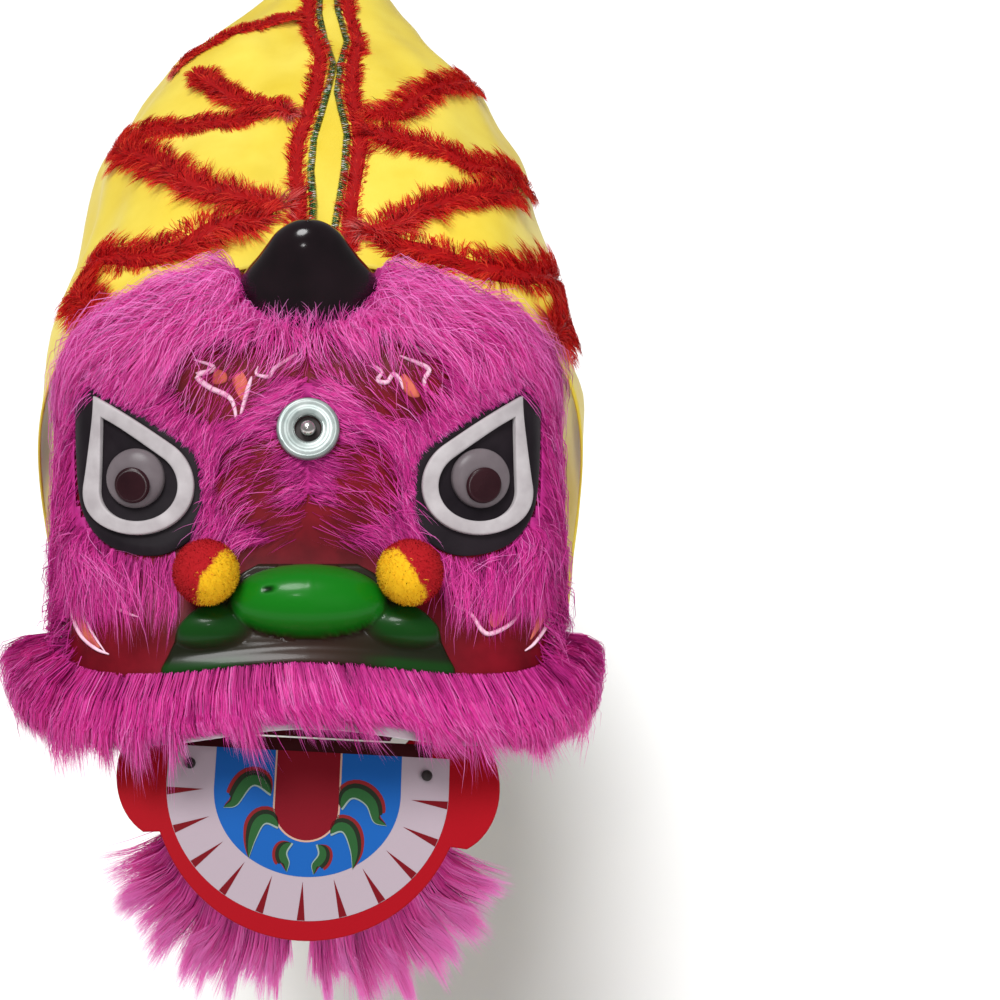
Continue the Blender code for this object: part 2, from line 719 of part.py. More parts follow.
def build_pompom(side, label, group):
    """A ball of short yarn with its tufts standing out."""
    place, across, up, out = head_frame(side * POMPOM_X, POMPOM_V)
    centre = place + out * (POMPOM_RADIUS + POMPOM_LIFT)
    mesh = bpy.data.meshes.new("pompom_" + label)
    ball = bmesh.new()
    bmesh.ops.create_uvsphere(ball, u_segments=12, v_segments=9, radius=POMPOM_RADIUS)
    for index, vertex in enumerate(ball.verts):
        tuft = math.sin(index * 2.4) * POMPOM_TUFT
        vertex.co *= 1 + tuft / POMPOM_RADIUS
    ball.to_mesh(mesh)
    ball.free()
    mesh.materials.append(material("pompom_red"))
    made = bpy.data.objects.new("pompom_" + label, mesh)
    made.location = centre
    group.objects.link(made)
    return made


# Furs of the head: root lines and tip lines in (x, v), from the middle outwards

FUR_COLUMNS = ("roots", "tips", "locks", "depth_in", "depth_out", "gap", "rise")
HEAD_FURS = {
    "crest_fur": (
        ((0.052, 0.135), (0.085, 0.180), (0.120, 0.215), (0.146, 0.235)),
        ((0.056, 0.270), (0.095, 0.300), (0.128, 0.300), (0.150, 0.285)),
        7, 0.026, 0.016, 0.0005, 0.012,
    ),
    "brow_fur": (
        ((0.026, 0.290), (0.060, 0.312), (0.100, 0.322), (0.136, 0.312)),
        ((0.060, 0.440), (0.085, 0.405), (0.112, 0.368), (0.140, 0.330)),
        6, 0.009, 0.008, 0.0008, 0.002,
    ),
    "temple_fur": (
        ((0.026, 0.385), (0.030, 0.450), (0.034, 0.520), (0.034, 0.590)),
        ((0.052, 0.465), (0.056, 0.530), (0.058, 0.600), (0.057, 0.660)),
        5, 0.006, 0.006, 0.0008, 0.001,
    ),
    "cheek_fur": (
        ((0.078, 0.712), (0.098, 0.712), (0.120, 0.695), (0.138, 0.655)),
        ((0.084, 0.840), (0.100, 0.850), (0.120, 0.845), (0.140, 0.800)),
        6, 0.008, 0.010, 0.0008, 0.005,
    ),
}


def build_head_fur(kind, side, label, group):
    row = dict(zip(FUR_COLUMNS, HEAD_FURS[kind]))
    path = head_path(row["roots"], row["tips"], row["gap"], row["rise"], side)
    depths = (row["depth_in"], row["depth_out"])
    return lock_band(kind + "_" + label, path, row["locks"], depths, "fur_magenta", group)


def build_side_fur(side, label, group):
    """Fur outside each eye, which falls out and back from the panel's edge."""
    def path(t, s):
        v = 0.325 + 0.480 * t
        u = side * (0.565 + 0.200 * s)
        v += 0.080 * s
        return above_head(u, v, SEAT_GAP + 0.014 * s**2), head_normal(u, v)
    return lock_band("side_fur_" + label, path, 7, (0.012, 0.012), "fur_magenta", group)


def lip_outward(u):
    """The level direction out of the lip's edge at u."""
    near, far = head_surface(max(u - 0.01, -1.0), 1.0), head_surface(min(u + 0.01, 1.0), 1.0)
    run = far - near
    out = np.array((run[1], -run[0], 0.0))
    return out / np.linalg.norm(out)


def build_lip_fur(group):
    """The thick fur round the upper lip, which hangs past its edge."""
    def path(t, s):
        u = -0.86 + 1.72 * t
        root = above_head(u, LIP_ROOT_V, SEAT_GAP)
        edge = head_surface(u, 1.0)
        out = lip_outward(u)
        corner = min(max((abs(u) - 0.5) / 0.36, 0.0), 1.0)
        bend = edge + out * 0.018 + np.array((0.0, 0.0, 0.025))
        drop = LIP_FUR_DROP * (1 - 0.55 * corner)
        tip = edge + out * (LIP_FUR_OUT * (0.6 + 0.5 * corner)) - np.array((0.0, 0.0, drop))
        point = root * (1 - s) ** 2 + bend * 2 * s * (1 - s) + tip * s**2
        rising = head_normal(u, LIP_ROOT_V) * (1 - s) + out * s
        return point, rising / np.linalg.norm(rising)
    return lock_band("lip_fur", path, 18, (0.014, 0.014), "fur_magenta", group, valley=0.86)


def build_lip_binding(group):
    """The pale binding that shows under the lip's fur."""
    spread, columns = 0.80, 25
    points = []
    for row in range(3):
        for column in range(columns):
            u = spread * (2 * column / (columns - 1) - 1)
            out = head_normal(u, 0.99)
            if row < 2:
                point = head_surface(u, 0.965 + 0.035 * row)
            else:
                run = head_surface(u, 1.0) - head_surface(u, 0.97)
                point = head_surface(u, 1.0) + run / np.linalg.norm(run) * BINDING_DEPTH
            points.append(point + out * (SEAT_GAP + BINDING_WALL))
    binding = add_object("lip_binding", points, grid_faces(columns, 3), "binding_white", group)
    face_outward(binding, (0.0, -0.05, -0.20))
    return thicken(binding, BINDING_WALL)


# Jaw

def jaw_frame():
    out = np.array((0.0, -math.cos(JAW_NORMAL_RISE), math.sin(JAW_NORMAL_RISE)))
    level = np.array((1.0, 0.0, 0.0))
    up = np.cross(out, level)
    across = level * math.cos(JAW_ROLL) + up * math.sin(JAW_ROLL)
    return np.array(JAW_CENTRE), across, np.cross(out, across), out


def jaw_at(across, up, out):
    centre, x_way, y_way, z_way = jaw_frame()
    return centre + x_way * across + y_way * up + z_way * out


def jaw_outline():
    """The board: a round chin with an ear on each side, flat between the ears."""
    def arc(centre, half_width, half_height, start, end, steps):
        turn = [start + (end - start) * step / steps for step in range(steps + 1)]
        return [(centre[0] + half_width * math.cos(a), centre[1] + half_height * math.sin(a)) for a in turn]
    ear_low = -1.15
    ear_inner = math.pi - math.asin((JAW_TOP - EAR_UP) / EAR_HALF_HEIGHT)
    ear = arc((EAR_X, EAR_UP), EAR_HALF_WIDTH, EAR_HALF_HEIGHT, ear_low, ear_inner, 12)
    chin_end = math.atan2(ear[0][1], ear[0][0]) - 0.03
    chin = arc((0.0, 0.0), JAW_RADIUS, JAW_RADIUS, -math.pi - chin_end, chin_end, 24)
    left = [(-x, y) for x, y in reversed(ear)]
    return left + chin + ear


def build_jaw_board(group):
    curve = bpy.data.curves.new("jaw_board", "CURVE")
    curve.dimensions = "2D"
    curve.fill_mode = "BOTH"
    curve.extrude = JAW_BOARD / 2
    turns = np.linspace(0, 2 * math.pi, TIE_HOLE_SIDES, endpoint=False)
    hole = [(TIE_HOLE * math.cos(turn), TIE_HOLE * math.sin(turn)) for turn in turns]
    outlines = [jaw_outline()]
    outlines += [[(side * TIE_X + x, TIE_UP + y) for x, y in hole] for side in (-1, 1)]
    for outline in outlines:
        spline = curve.splines.new("POLY")
        spline.points.add(len(outline) - 1)
        for point, (x, y) in zip(spline.points, outline):
            point.co = (x, y, 0.0, 1.0)
        spline.use_cyclic_u = True
    curve.materials.append(material("board_red"))
    made = bpy.data.objects.new("jaw_board", curve)
    made.matrix_world = frame_matrix(jaw_frame())
    group.objects.link(made)
    return made


def build_jaw_tie(side, label, group):
    """A short cord, knotted in front of the board, through its hole and over its top edge to the lip."""
    front = JAW_BOARD / 2
    ear_top = EAR_UP + EAR_HALF_HEIGHT * math.sqrt(1 - ((EAR_X - TIE_X) / EAR_HALF_WIDTH) ** 2)
    knot = [(TIE_UP, front + out, swell) for out, swell in TIE_KNOT_PROFILE]
    behind = (
        (TIE_UP, -front - 0.0006), (TIE_UP + 0.0012, -front - 0.0022), (TIE_UP + 0.0040, -front - 0.0030),
        (ear_top - 0.0050, -front - 0.0032), (ear_top + 0.0030, -front - 0.0010),
        (ear_top + 0.0075, front + 0.0040),
    )
    route = knot + [(up, out, 1.0) for up, out in behind]
    points = [(jaw_at(side * TIE_X, up, out), swell) for up, out, swell in route]
    lip = above_head(u_of_x(side * TIE_X, TIE_LIP_V), TIE_LIP_V, -HEAD_WALL - TIE_GAP - TIE_CORD)
    start = points[-1][0]
    for share in (0.25, 0.5, 0.75, 1.0):
        points.append((start * (1 - share) + lip * share, 1.0))
    curve = bpy.data.curves.new("jaw_tie_" + label, "CURVE")
    curve.dimensions = "3D"
    curve.bevel_depth = TIE_CORD
    curve.bevel_resolution = 2
    curve.use_fill_caps = True
    spline = curve.splines.new("POLY")
    spline.points.add(len(points) - 1)
    for target, (point, swell) in zip(spline.points, points):
        target.co = (*point, 1.0)
        target.radius = swell
    curve.materials.append(material("cord_black"))
    made = bpy.data.objects.new("jaw_tie_" + label, curve)
    group.objects.link(made)
    return made


def build_mouth_cloth(group):
    """The dark cloth between the inside of the lip and the board's rear edge."""
    columns, rows = MOUTH_CLOTH_DIVISIONS
    points = []
    for row in range(rows):
        for column in range(columns):
            across = 2 * column / (columns - 1) - 1
            x = MOUTH_CLOTH_HALF_WIDTH * across
            u = u_of_x(x, MOUTH_CLOTH_V)
            top = above_head(u, MOUTH_CLOTH_V, -HEAD_WALL - MOUTH_CLOTH_GAP)
            foot = jaw_at(JAW_CLOTH_HALF_WIDTH * across, JAW_TOP + JAW_CLOTH_GAP, 0.0)
            share = row / (rows - 1)
            sag = math.sin(math.pi * share) * MOUTH_CLOTH_SAG
            points.append(top * (1 - share) + foot * share + np.array((0.0, sag, 0.0)))
    cloth = add_object("mouth_cloth", points, grid_faces(columns, rows), "cloth_maroon", group)
    face_outward(cloth, (0.0, 0.10, -0.16))
    return thicken(cloth, MOUTH_CLOTH_WALL)


def build_beard(side, label, group):
    """A tuft of long fur behind the board's lower rim."""
    def path(t, s):
        angle = math.radians(-90 + side * (7 + 60 * t))
        reach = BEARD_ROOT * JAW_RADIUS
        root = jaw_at(reach * math.cos(angle), reach * math.sin(angle), -JAW_BOARD / 2 - SEAT_GAP)
        spread = side * (0.004 + 0.046 * t)
        length = BEARD_LENGTH - 0.055 * abs(t - 0.45)
        bend = root + np.array((0.0, 0.0135, -0.049))
        tip = root + np.array((spread, 0.012, -length))
        point = root * (1 - s) ** 2 + bend * 2 * s * (1 - s) + tip * s**2
        return point, np.array((0.0, 1.0, -0.15 * (1 - s))) / math.hypot(1.0, 0.15 * (1 - s))
    return lock_band("beard_fur_" + label, path, 6, (0.014, 0.014), "fur_magenta", group)


# Back cloth and its trims

def build_cape(group):
    return hood_sheet(
        "cape_cloth", cape_surface, CAPE_DIVISIONS, CLOTH, INSIDE_CAPE, "cloth_yellow", group,
    )


def cape_u_of_x(x, v):
    """Where the cloth stands x from its own middle line."""
    row = section_at(CAPE_SECTIONS, v)
    share = abs(x) / row["half_width"]
    power = row["squareness"]
    slope = (share**power / (1 - share**power)) ** (1 / power)
    return math.copysign(math.atan(slope) * 2 / math.pi, x)


def strip(name, places, half_width, height, tuft, colour, group, end_share=1.0):
    """A narrow strip on the cloth along places in (u, v), its edges drawn out at every other step."""
    loops = []
    last = len(places) - 1
    centres = [above_cape(u, v, SEAT_GAP) for u, v in places]
    for index, (u, v) in enumerate(places):
        run = centres[min(index + 1, last)] - centres[max(index - 1, 0)]
        out = cape_normal(u, v)
        across = np.cross(run, out)
        across /= np.linalg.norm(across)
        reach = half_width * (1 + tuft * (index % 2))
        if index in (0, last):
            reach *= end_share
        middle = centres[index]
        edge = out * reach * STRIP_EDGE_RISE
        loops.append([
            middle - across * reach + edge, middle + out * height, middle + across * reach + edge, middle,
        ])
    return closed_loft(name, loops, colour, group)


def build_spine(side, label, group):
    """A sequin braid and a strip of red fur on one side of the back's middle seam."""
    rows = [dict(zip(SPINE_COLUMNS, values)) for values in SPINE_ROWS]
    count = CAPE_DIVISIONS[1]
    behind = [row / count for row in range(count) if row / count > rows[-1]["along"] + 0.02]
    rows += [{**rows[-1], "along": along} for along in behind + [SPINE_END]]
    for trim, half_width, height, tuft, colour in (
        ("braid", BRAID_HALF_WIDTH, BRAID_HEIGHT, 0.0, "braid_gold"),
        ("fur", SPINE_FUR_HALF_WIDTH, TRIM_HEIGHT, 0.25, "fur_red"),
    ):
        places = []
        for row in rows:
            v = row["along"]
            places.append((cape_u_of_x(row[trim + "_" + label], v), v))
        strip("spine_" + trim + "_" + label, places, half_width, height, tuft, colour, group)


def along_cloth(places):
    """Even steps along a line of places on the cloth."""
    points = [cape_surface(u, v) for u, v in places]
    reach = [0.0]
    for here, ahead in zip(points, points[1:]):
        reach.append(reach[-1] + np.linalg.norm(ahead - here))
    steps = max(round(reach[-1] / ZIGZAG_STEP), 3)
    at = np.linspace(0.0, reach[-1], steps + 1)
    across, along = np.array(places).T
    return list(zip(np.interp(at, reach, across), np.interp(at, reach, along)))


def build_zigzag(legs, label, group):
    """Red fur that runs to and fro between the spine and the side: a strip for each leg."""
    for number, places in enumerate(legs):
        name = f"zigzag_fur_{label}_{number + 1}"
        strip(
            name, along_cloth(places), ZIGZAG_HALF_WIDTH, TRIM_HEIGHT, ZIGZAG_TUFT, "fur_red", group,
            end_share=0.5,
        )


def main():
    clear_scene()
    group = collection("lion_dance_costume")
    build_shell(group)
    build_horn(group)
    build_mirror(group)
    build_nose(group)
    for side, label in ((-1, "left"), (1, "right")):
        build_eye_panel(side, label, group)
        build_eye_ring(side, label, group)
        build_eyeball(side, label, group)
        build_pompom(side, label, group)
        for kind in HEAD_FURS:
            build_head_fur(kind, side, label, group)
        build_side_fur(side, label, group)
        build_beard(side, label, group)
        build_jaw_tie(side, label, group)
        build_spine(side, label, group)
    build_lip_binding(group)
    build_lip_fur(group)
    build_jaw_board(group)
    build_mouth_cloth(group)
    build_cape(group)
    build_zigzag(ZIGZAGS_LEFT, "left", group)
    build_zigzag(ZIGZAGS_RIGHT, "right", group)


main()
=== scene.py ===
"""The look of a child's lion dance costume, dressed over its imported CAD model.

Metres, +Z up, in the frame of the CAD. Every surface is worked out from the same tables of sections
as the CAD model, so each piece lies where its plain solid does. Fur is made of tapered strands.
"""

import math

import bpy
import numpy as np
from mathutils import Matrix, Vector
from mathutils.kdtree import KDTree


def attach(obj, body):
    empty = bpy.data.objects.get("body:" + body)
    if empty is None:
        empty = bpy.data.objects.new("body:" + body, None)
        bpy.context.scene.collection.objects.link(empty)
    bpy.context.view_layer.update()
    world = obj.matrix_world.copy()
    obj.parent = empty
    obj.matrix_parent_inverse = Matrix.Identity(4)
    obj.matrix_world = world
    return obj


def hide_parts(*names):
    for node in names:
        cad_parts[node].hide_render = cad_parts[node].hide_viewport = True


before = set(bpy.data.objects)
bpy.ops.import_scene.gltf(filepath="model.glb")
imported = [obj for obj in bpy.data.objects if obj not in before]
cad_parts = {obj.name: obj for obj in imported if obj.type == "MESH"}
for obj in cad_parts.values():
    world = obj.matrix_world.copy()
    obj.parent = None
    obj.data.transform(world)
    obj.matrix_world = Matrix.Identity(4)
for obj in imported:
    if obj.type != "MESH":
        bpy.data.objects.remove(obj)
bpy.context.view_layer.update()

# Clearances and walls, as in the CAD model
SEAT_GAP = 0.0008
HEAD_WALL = 0.003
PANEL = 0.0015
PANEL_GAP = 0.0014

# Head and back cloth sections, as in the CAD model
SECTION_COLUMNS = (
    "top_y", "top_z", "side_y", "side_z", "half_width", "squareness", "droop", "forward", "shift",
)
HEAD_SECTIONS = (
    (0.065, -0.011, 0.080, -0.093, 0.135, 3.0, 0.000, 0.0, 0.0),
    (0.000, 0.003, 0.070, -0.123, 0.150, 3.4, 0.000, 0.0, 0.0),
    (-0.050, -0.013, 0.045, -0.153, 0.163, 4.6, 0.000, 0.0, 0.0),
    (-0.089, -0.047, 0.010, -0.173, 0.165, 4.8, 0.000, 0.0, 0.0),
    (-0.120, -0.083, -0.035, -0.180, 0.164, 4.6, 0.000, 0.0, 0.0),
    (-0.150, -0.115, -0.075, -0.181, 0.161, 4.0, 0.000, 0.0, 0.0),
    (-0.190, -0.141, -0.115, -0.181, 0.158, 3.4, -0.010, 0.0, 0.0),
    (-0.228, -0.163, -0.155, -0.179, 0.160, 2.8, -0.022, 0.0, 0.0),
)
PROFILE_LENGTH = 0.354
RELIEF_COLUMNS = ("centre_x", "centre_v", "reach_x", "reach_v", "height")
HEAD_RELIEF = (
    (0.098, 0.330, 0.050, 0.060, 0.0060),
    (0.104, 0.545, 0.035, 0.100, -0.0030),
    (0.108, 0.800, 0.035, 0.060, 0.0050),
    (0.000, 0.470, 0.050, 0.150, 0.0040),
)
CAPE_SECTIONS = (
    (0.036, 0.0009, -0.010, -0.268, 0.192, 4.20, 0.0, 0.045, 0.001),
    (0.080, 0.0160, 0.070, -0.273, 0.200, 3.60, 0.0, 0.010, 0.003),
    (0.170, 0.043, 0.170, -0.263, 0.205, 3.00, 0.0, 0.000, 0.006),
    (0.270, 0.062, 0.270, -0.253, 0.208, 2.70, 0.0, 0.000, 0.006),
    (0.360, 0.074, 0.360, -0.243, 0.202, 2.20, 0.0, 0.000, 0.006),
    (0.430, 0.083, 0.430, -0.235, 0.170, 1.75, 0.0, 0.000, 0.012),
    (0.482, 0.070, 0.470, -0.232, 0.138, 1.80, 0.0, 0.000, 0.020),
    (0.512, -0.010, 0.488, -0.232, 0.122, 2.00, 0.0, 0.000, 0.022),
    (0.524, -0.123, 0.496, -0.234, 0.110, 2.10, 0.0, 0.000, 0.022),
    (0.528, -0.228, 0.500, -0.236, 0.106, 2.40, 0.0, 0.000, 0.022),
)
CAPE_FOLDS = 5
CAPE_REAR_FOLDS = 3
CAPE_FOLD_DEPTH = 0.006

# Eyes, as in the CAD model
EYE_X = 0.104
EYE_V = 0.545
PANEL_OUTLINE = (
    (0.0415, 0.0790), (0.0180, 0.0600), (-0.0080, 0.0440), (-0.0340, 0.0240), (-0.0385, 0.0000),
    (-0.0375, -0.0300), (-0.0140, -0.0490), (0.0180, -0.0420), (0.0370, -0.0130), (0.0420, 0.0330),
)
RING_RADIUS = 0.0345
RING_TIP = (0.0260, 0.0620)
RING_WIDTH = 0.0100
RING_INNER_TIP = (0.0225, 0.0485)
RING_HEIGHT = 0.0030
RING_GAP = 0.0015
EYEBALL_OUT = 0.0025
EYEBALL_UP = 0.0065
EYEBALL_RADIUS = 0.0185
EYEBALL_HEIGHT = 0.0070
EYEBALL_EDGE = 0.001
EYEBALL_GAP = 0.0018
PUPIL_RADIUS = 0.0112
PUPIL_HEIGHT = 0.0022
PUPIL_DROP = 0.0045
PUPIL_GAP = 0.0007

# Horn, mirror, nose and pompoms, as in the CAD model
HORN_Y = -0.008
HORN_V = 0.165
HORN_HALF_X = 0.0450
HORN_HALF_Y = 0.0330
HORN_TOP = 0.0520
HORN_WALL = 0.0025
HORN_PROFILE = (
    (0.00, 1.03), (0.06, 1.03), (0.14, 0.99), (0.28, 0.88),
    (0.43, 0.74), (0.61, 0.60), (0.80, 0.45), (0.94, 0.24), (1.00, 0.00),
)
MIRROR_V = 0.442
MIRROR_RADIUS = 0.0195
MIRROR_HOLE = 0.0082
MIRROR_DEPTH = 0.0060
MIRROR_GAP = 0.0003
BOLT_RADIUS = 0.0050
BOLT_HEIGHT = 0.0095
NOSE_V = 0.800
NOSE_ROWS = (
    (0.0350, 0.030), (0.0290, 0.040), (0.0200, 0.049), (0.0110, 0.058), (0.0030, 0.070),
    (-0.0050, 0.078), (-0.0130, 0.080), (-0.0210, 0.084), (-0.0290, 0.088), (-0.0340, 0.088),
)
NOSE_BASE = 0.0035
SWELLING_COLUMNS = ("x", "up", "half_x", "half_up", "height", "softness")
BULGE = (0.000, 0.0090, 0.0470, 0.0250, 0.0260, 0.5)
WING = (0.059, -0.0050, 0.0260, 0.0150, 0.0100, 1.0)
POMPOM_X = 0.0600
POMPOM_V = 0.7330
POMPOM_RADIUS = 0.0200
POMPOM_LIFT = 0.0051

# Lip and jaw, as in the CAD model
LIP_FUR_OUT = 0.026
LIP_FUR_DROP = 0.032
LIP_FUR_RISE = 0.025
BINDING_DEPTH = 0.007
BINDING_WALL = 0.0012
JAW_CENTRE = (0.0, -0.219, -0.224)
JAW_NORMAL_RISE = math.radians(52)
JAW_ROLL = math.radians(-3)
JAW_RADIUS = 0.096
JAW_BOARD = 0.005
JAW_TOP = 0.024
JAW_CLOTH_HALF_WIDTH = 0.050
JAW_CLOTH_GAP = 0.0013
EAR_X = 0.0855
EAR_UP = -0.001
EAR_HALF_WIDTH = 0.033
EAR_HALF_HEIGHT = 0.040
EAR_START = -1.15
BOARD_EASE = 0.0008
TIE_X = 0.0730
TIE_UP = 0.0050
TIE_HOLE = 0.0026
TIE_CORD = 0.0013
TIE_KNOT_PROFILE = (
    (0.0062, 0.3), (0.0055, 1.7), (0.0040, 2.6), (0.0022, 2.5), (0.0007, 2.3), (0.0003, 1.0),
)
TIE_LIP_V = 0.88
TIE_GAP = 0.0004
BEARD_ROOT = 0.90
BEARD_LENGTH = 0.135
BEARD_DEPTH = 0.014
BEARD_START = 7
BEARD_SPAN = 60
BEARD_BEND = (0.0, 0.0135, -0.049)
BEARD_TIP_BACK = 0.012
BEARD_PALE_TIP = 0.55

# Trims on the cloth, as in the CAD model
SPINE_COLUMNS = ("along", "fur_left", "braid_left", "braid_right", "fur_right")
SPINE_ROWS = (
    (0.012, -0.0095, 0.0000, 0.0155, 0.0265),
    (0.090, -0.0095, 0.0000, 0.0155, 0.0265),
    (0.130, -0.0095, 0.0000, 0.0175, 0.0270),
    (0.170, -0.0130, -0.0030, 0.0210, 0.0305),
    (0.210, -0.0130, -0.0015, 0.0225, 0.0325),
    (0.240, -0.0065, 0.0035, 0.0180, 0.0280),
    (0.270, -0.0015, 0.0080, 0.0155, 0.0260),
    (0.300, 0.0015, 0.0115, 0.0180, 0.0285),
    (0.325, 0.0035, 0.0135, 0.0190, 0.0295),
    (0.375, -0.0025, 0.0070, 0.0255, 0.0355),
    (0.4375, -0.0055, 0.0035, 0.0190, 0.0280),
    (0.5000, -0.0070, 0.0020, 0.0160, 0.0250),
    (0.5625, -0.0120, -0.0030, 0.0100, 0.0190),
    (0.6250, -0.0145, -0.0055, 0.0055, 0.0145),
)
SPINE_END = 0.970
ZIGZAGS_LEFT = (
    ((-0.060, 0.430), (-0.120, 0.405), (-0.250, 0.388), (-0.330, 0.375)),
    ((-0.270, 0.325), (-0.215, 0.290), (-0.140, 0.263), (-0.070, 0.243)),
    ((-0.155, 0.245), (-0.280, 0.250), (-0.380, 0.269), (-0.470, 0.300)),
    ((-0.420, 0.254), (-0.290, 0.171), (-0.200, 0.139), (-0.085, 0.124)),
    ((-0.117, 0.102), (-0.210, 0.097), (-0.280, 0.077), (-0.360, 0.080), (-0.470, 0.122)),
    ((-0.448, 0.080), (-0.4615, 0.0625), (-0.425, 0.010)),
)
ZIGZAGS_RIGHT = (
    ((0.128, 0.239), (0.190, 0.251), (0.230, 0.283), (0.330, 0.341), (0.400, 0.390)),
    ((0.138, 0.213), (0.250, 0.202), (0.360, 0.204), (0.500, 0.264)),
    ((0.437, 0.200), (0.373, 0.169), (0.280, 0.137), (0.220, 0.117), (0.130, 0.083)),
    ((0.172, 0.072), (0.280, 0.060), (0.365, 0.058), (0.457, 0.096), (0.560, 0.165)),
    ((0.550, 0.113), (0.525, 0.070), (0.497, 0.025)),
)

ZIGZAG_WIDTHS_LEFT = (0.0065, 0.0075, 0.0080, 0.0105, 0.0120, 0.0100)
ZIGZAG_WIDTHS_RIGHT = (0.0090, 0.0100, 0.0090, 0.0120, 0.0110)

# Camera: where it looks, how far from there, how steeply down, its lens and its sideways shift
CAMERA_TARGET = (0.0, -0.120, -0.083)
CAMERA_DISTANCE = 0.85
CAMERA_RISE = math.radians(36)
CAMERA_LENS = 49.6
CAMERA_SHIFT = 0.192

# Floor and light
FLOOR_Z = -0.80
FLOOR_HALF = 7.0
LAMP_TARGET = (0.0, -0.05, -0.08)
LAMPS = (
    # name, place, size, power, whether it shows in reflections
    ("fill", (0.5, -1.3, 0.6), 0.9, 9.0, False),
    ("window", (-0.25, -1.1, 1.0), 0.12, 1.6, True),
)
SUN_PLACE = (-0.40, -0.30, 1.6)
SUN_STRENGTH = 3.2
SUN_ANGLE = math.radians(24)
WORLD_STRENGTH = 0.30

# Fur colours from shaded root to lit tip
MAGENTA = ((0.320, 0.008, 0.140), (0.840, 0.060, 0.450), (0.980, 0.340, 0.780))
RED = ((0.260, 0.003, 0.005), (0.700, 0.012, 0.014), (0.920, 0.130, 0.050))
PALE_TIP = (0.90, 0.45, 0.42)

# Make-up of the furs: strands, points along each, usual width, strands in a clump and how far they join it.
# The head's furs have their other values in HEAD_FURS, and the pompoms have no clumps.
FUR_MAKES = {
    "wisps": (420, 6, 0.00042, 10, 0.30),
    "lip": (17500, 5, 0.00055, 22, 0.42),
    "beard": (5400, 5, 0.00065, 34, 0.62),
    "spine": (4500, 4, 0.00060, 12, 0.45),
    "zigzag": (2200, 4, 0.00060, 12, 0.45),
}
HEAD_CLUMPS = (14, 0.32)
POMPOM_STRANDS = (9000, 3, 0.0009)

# Columns and rows of the finer grids
SHELL_GRID = (61, 49)
CAPE_GRID = (121, 101)
UNDERCOAT_GRID = (140, 100)
NOSE_GRID = (73, 45)
HORN_GRID = (60, 30)
LINING_GRID = (61, 31)

# Points inside the open pieces or behind them, which their outer faces look away from
HEAD_MIDDLE = (0.0, 0.0, -0.12)
CAPE_MIDDLE = (0.0, 0.25, -0.20)
LIP_MIDDLE = (0.0, -0.05, -0.20)
LINING_BACK = (0.0, 0.10, -0.16)


# Smooth curves

def catmull_rom(before, here, ahead, after, share):
    """A share of the way from here to ahead, on the smooth curve through four points."""
    bend = 2 * before - 5 * here + 4 * ahead - after
    twist = 3 * here - before - 3 * ahead + after
    return 0.5 * (2 * here + (ahead - before) * share + bend * share**2 + twist * share**3)


def along_table(table, place):
    """Rows of a smooth curve through a table's rows, at places counted in rows from its start."""
    padded = np.vstack((2 * table[0] - table[1], table, 2 * table[-1] - table[-2]))
    index = np.minimum(place.astype(int), len(table) - 2)
    four = (padded[index + step] for step in range(4))
    return catmull_rom(*four, (place - index)[..., None])


def smooth_path(points, samples):
    """Points evenly spread in number along an open smooth curve."""
    table = np.array(points, float)
    return along_table(table, np.linspace(0.0, len(table) - 1, samples))


def closed_path(points, samples):
    """Points evenly spread in number over a closed smooth curve that keeps its first corner."""
    table = np.array(points, float)
    count = len(table)
    result = []
    for step in range(samples):
        place = step * count / samples
        index = int(place)
        here, ahead = table[index % count], table[(index + 1) % count]
        before = table[(index - 1) % count] if index % count else here
        after = table[(index + 2) % count] if (index + 1) % count else ahead
        result.append(catmull_rom(before, here, ahead, after, place - index))
    return np.array(result)


def drawn_curve(start, bend, end, share):
    """A quadratic curve from start to end, drawn towards bend."""
    return start * (1 - share) ** 2 + bend * 2 * share * (1 - share) + end * share**2


def lengths_along(line):
    """How far along a line of points each of them is."""
    return np.concatenate(([0.0], np.cumsum(np.linalg.norm(np.diff(line, axis=0), axis=1))))


def spread_grid(columns, rows, across, down):
    """Two grids of numbers: one runs over a range across, the other over a range down."""
    return np.meshgrid(np.linspace(*across, columns), np.linspace(*down, rows))


# Surfaces worked out from the tables, for whole arrays of (u, v)

def sections_at(sections, v):
    """The smooth sections at shares v of the way down the table."""
    table = np.array(sections)
    rows = along_table(table, np.clip(v, 0.0, 1.0) * (len(table) - 1))
    return {name: rows[..., column] for column, name in enumerate(SECTION_COLUMNS)}


def hood_points(sections, u, v):
    """Points of a hood: u from -1 to 1 across, v from 0 to 1 down the table of sections."""
    u, v = np.broadcast_arrays(np.asarray(u, float), np.asarray(v, float))
    row = sections_at(sections, v)
    side = np.sin(u * math.pi / 2)
    top = np.maximum(np.cos(u * math.pi / 2), 0.0)
    power = row["squareness"]
    radius = (np.abs(side) ** power + top**power) ** (-1 / power)
    bow = np.sin(math.pi * np.abs(u)) ** 2
    height = radius * top
    return np.stack((
        row["shift"] + row["half_width"] * radius * side,
        row["side_y"] + (row["top_y"] - row["side_y"]) * height - row["forward"] * bow,
        row["side_z"] + (row["top_z"] - row["side_z"]) * height + row["droop"] * bow,
    ), axis=-1)


def unit(vectors):
    return vectors / np.maximum(np.linalg.norm(vectors, axis=-1, keepdims=True), 1e-12)


def surface_ways(surface, u, v):
    """How a surface runs for a unit step of u and of v."""
    step = 0.004
    u0, u1 = np.maximum(u - step, -1.0), np.minimum(u + step, 1.0)
    v0, v1 = np.maximum(v - step, 0.0), np.minimum(v + step, 1.0)
    across = (surface(u1, v) - surface(u0, v)) / (u1 - u0)[..., None]
    along = (surface(u, v1) - surface(u, v0)) / (v1 - v0)[..., None]
    return across, along


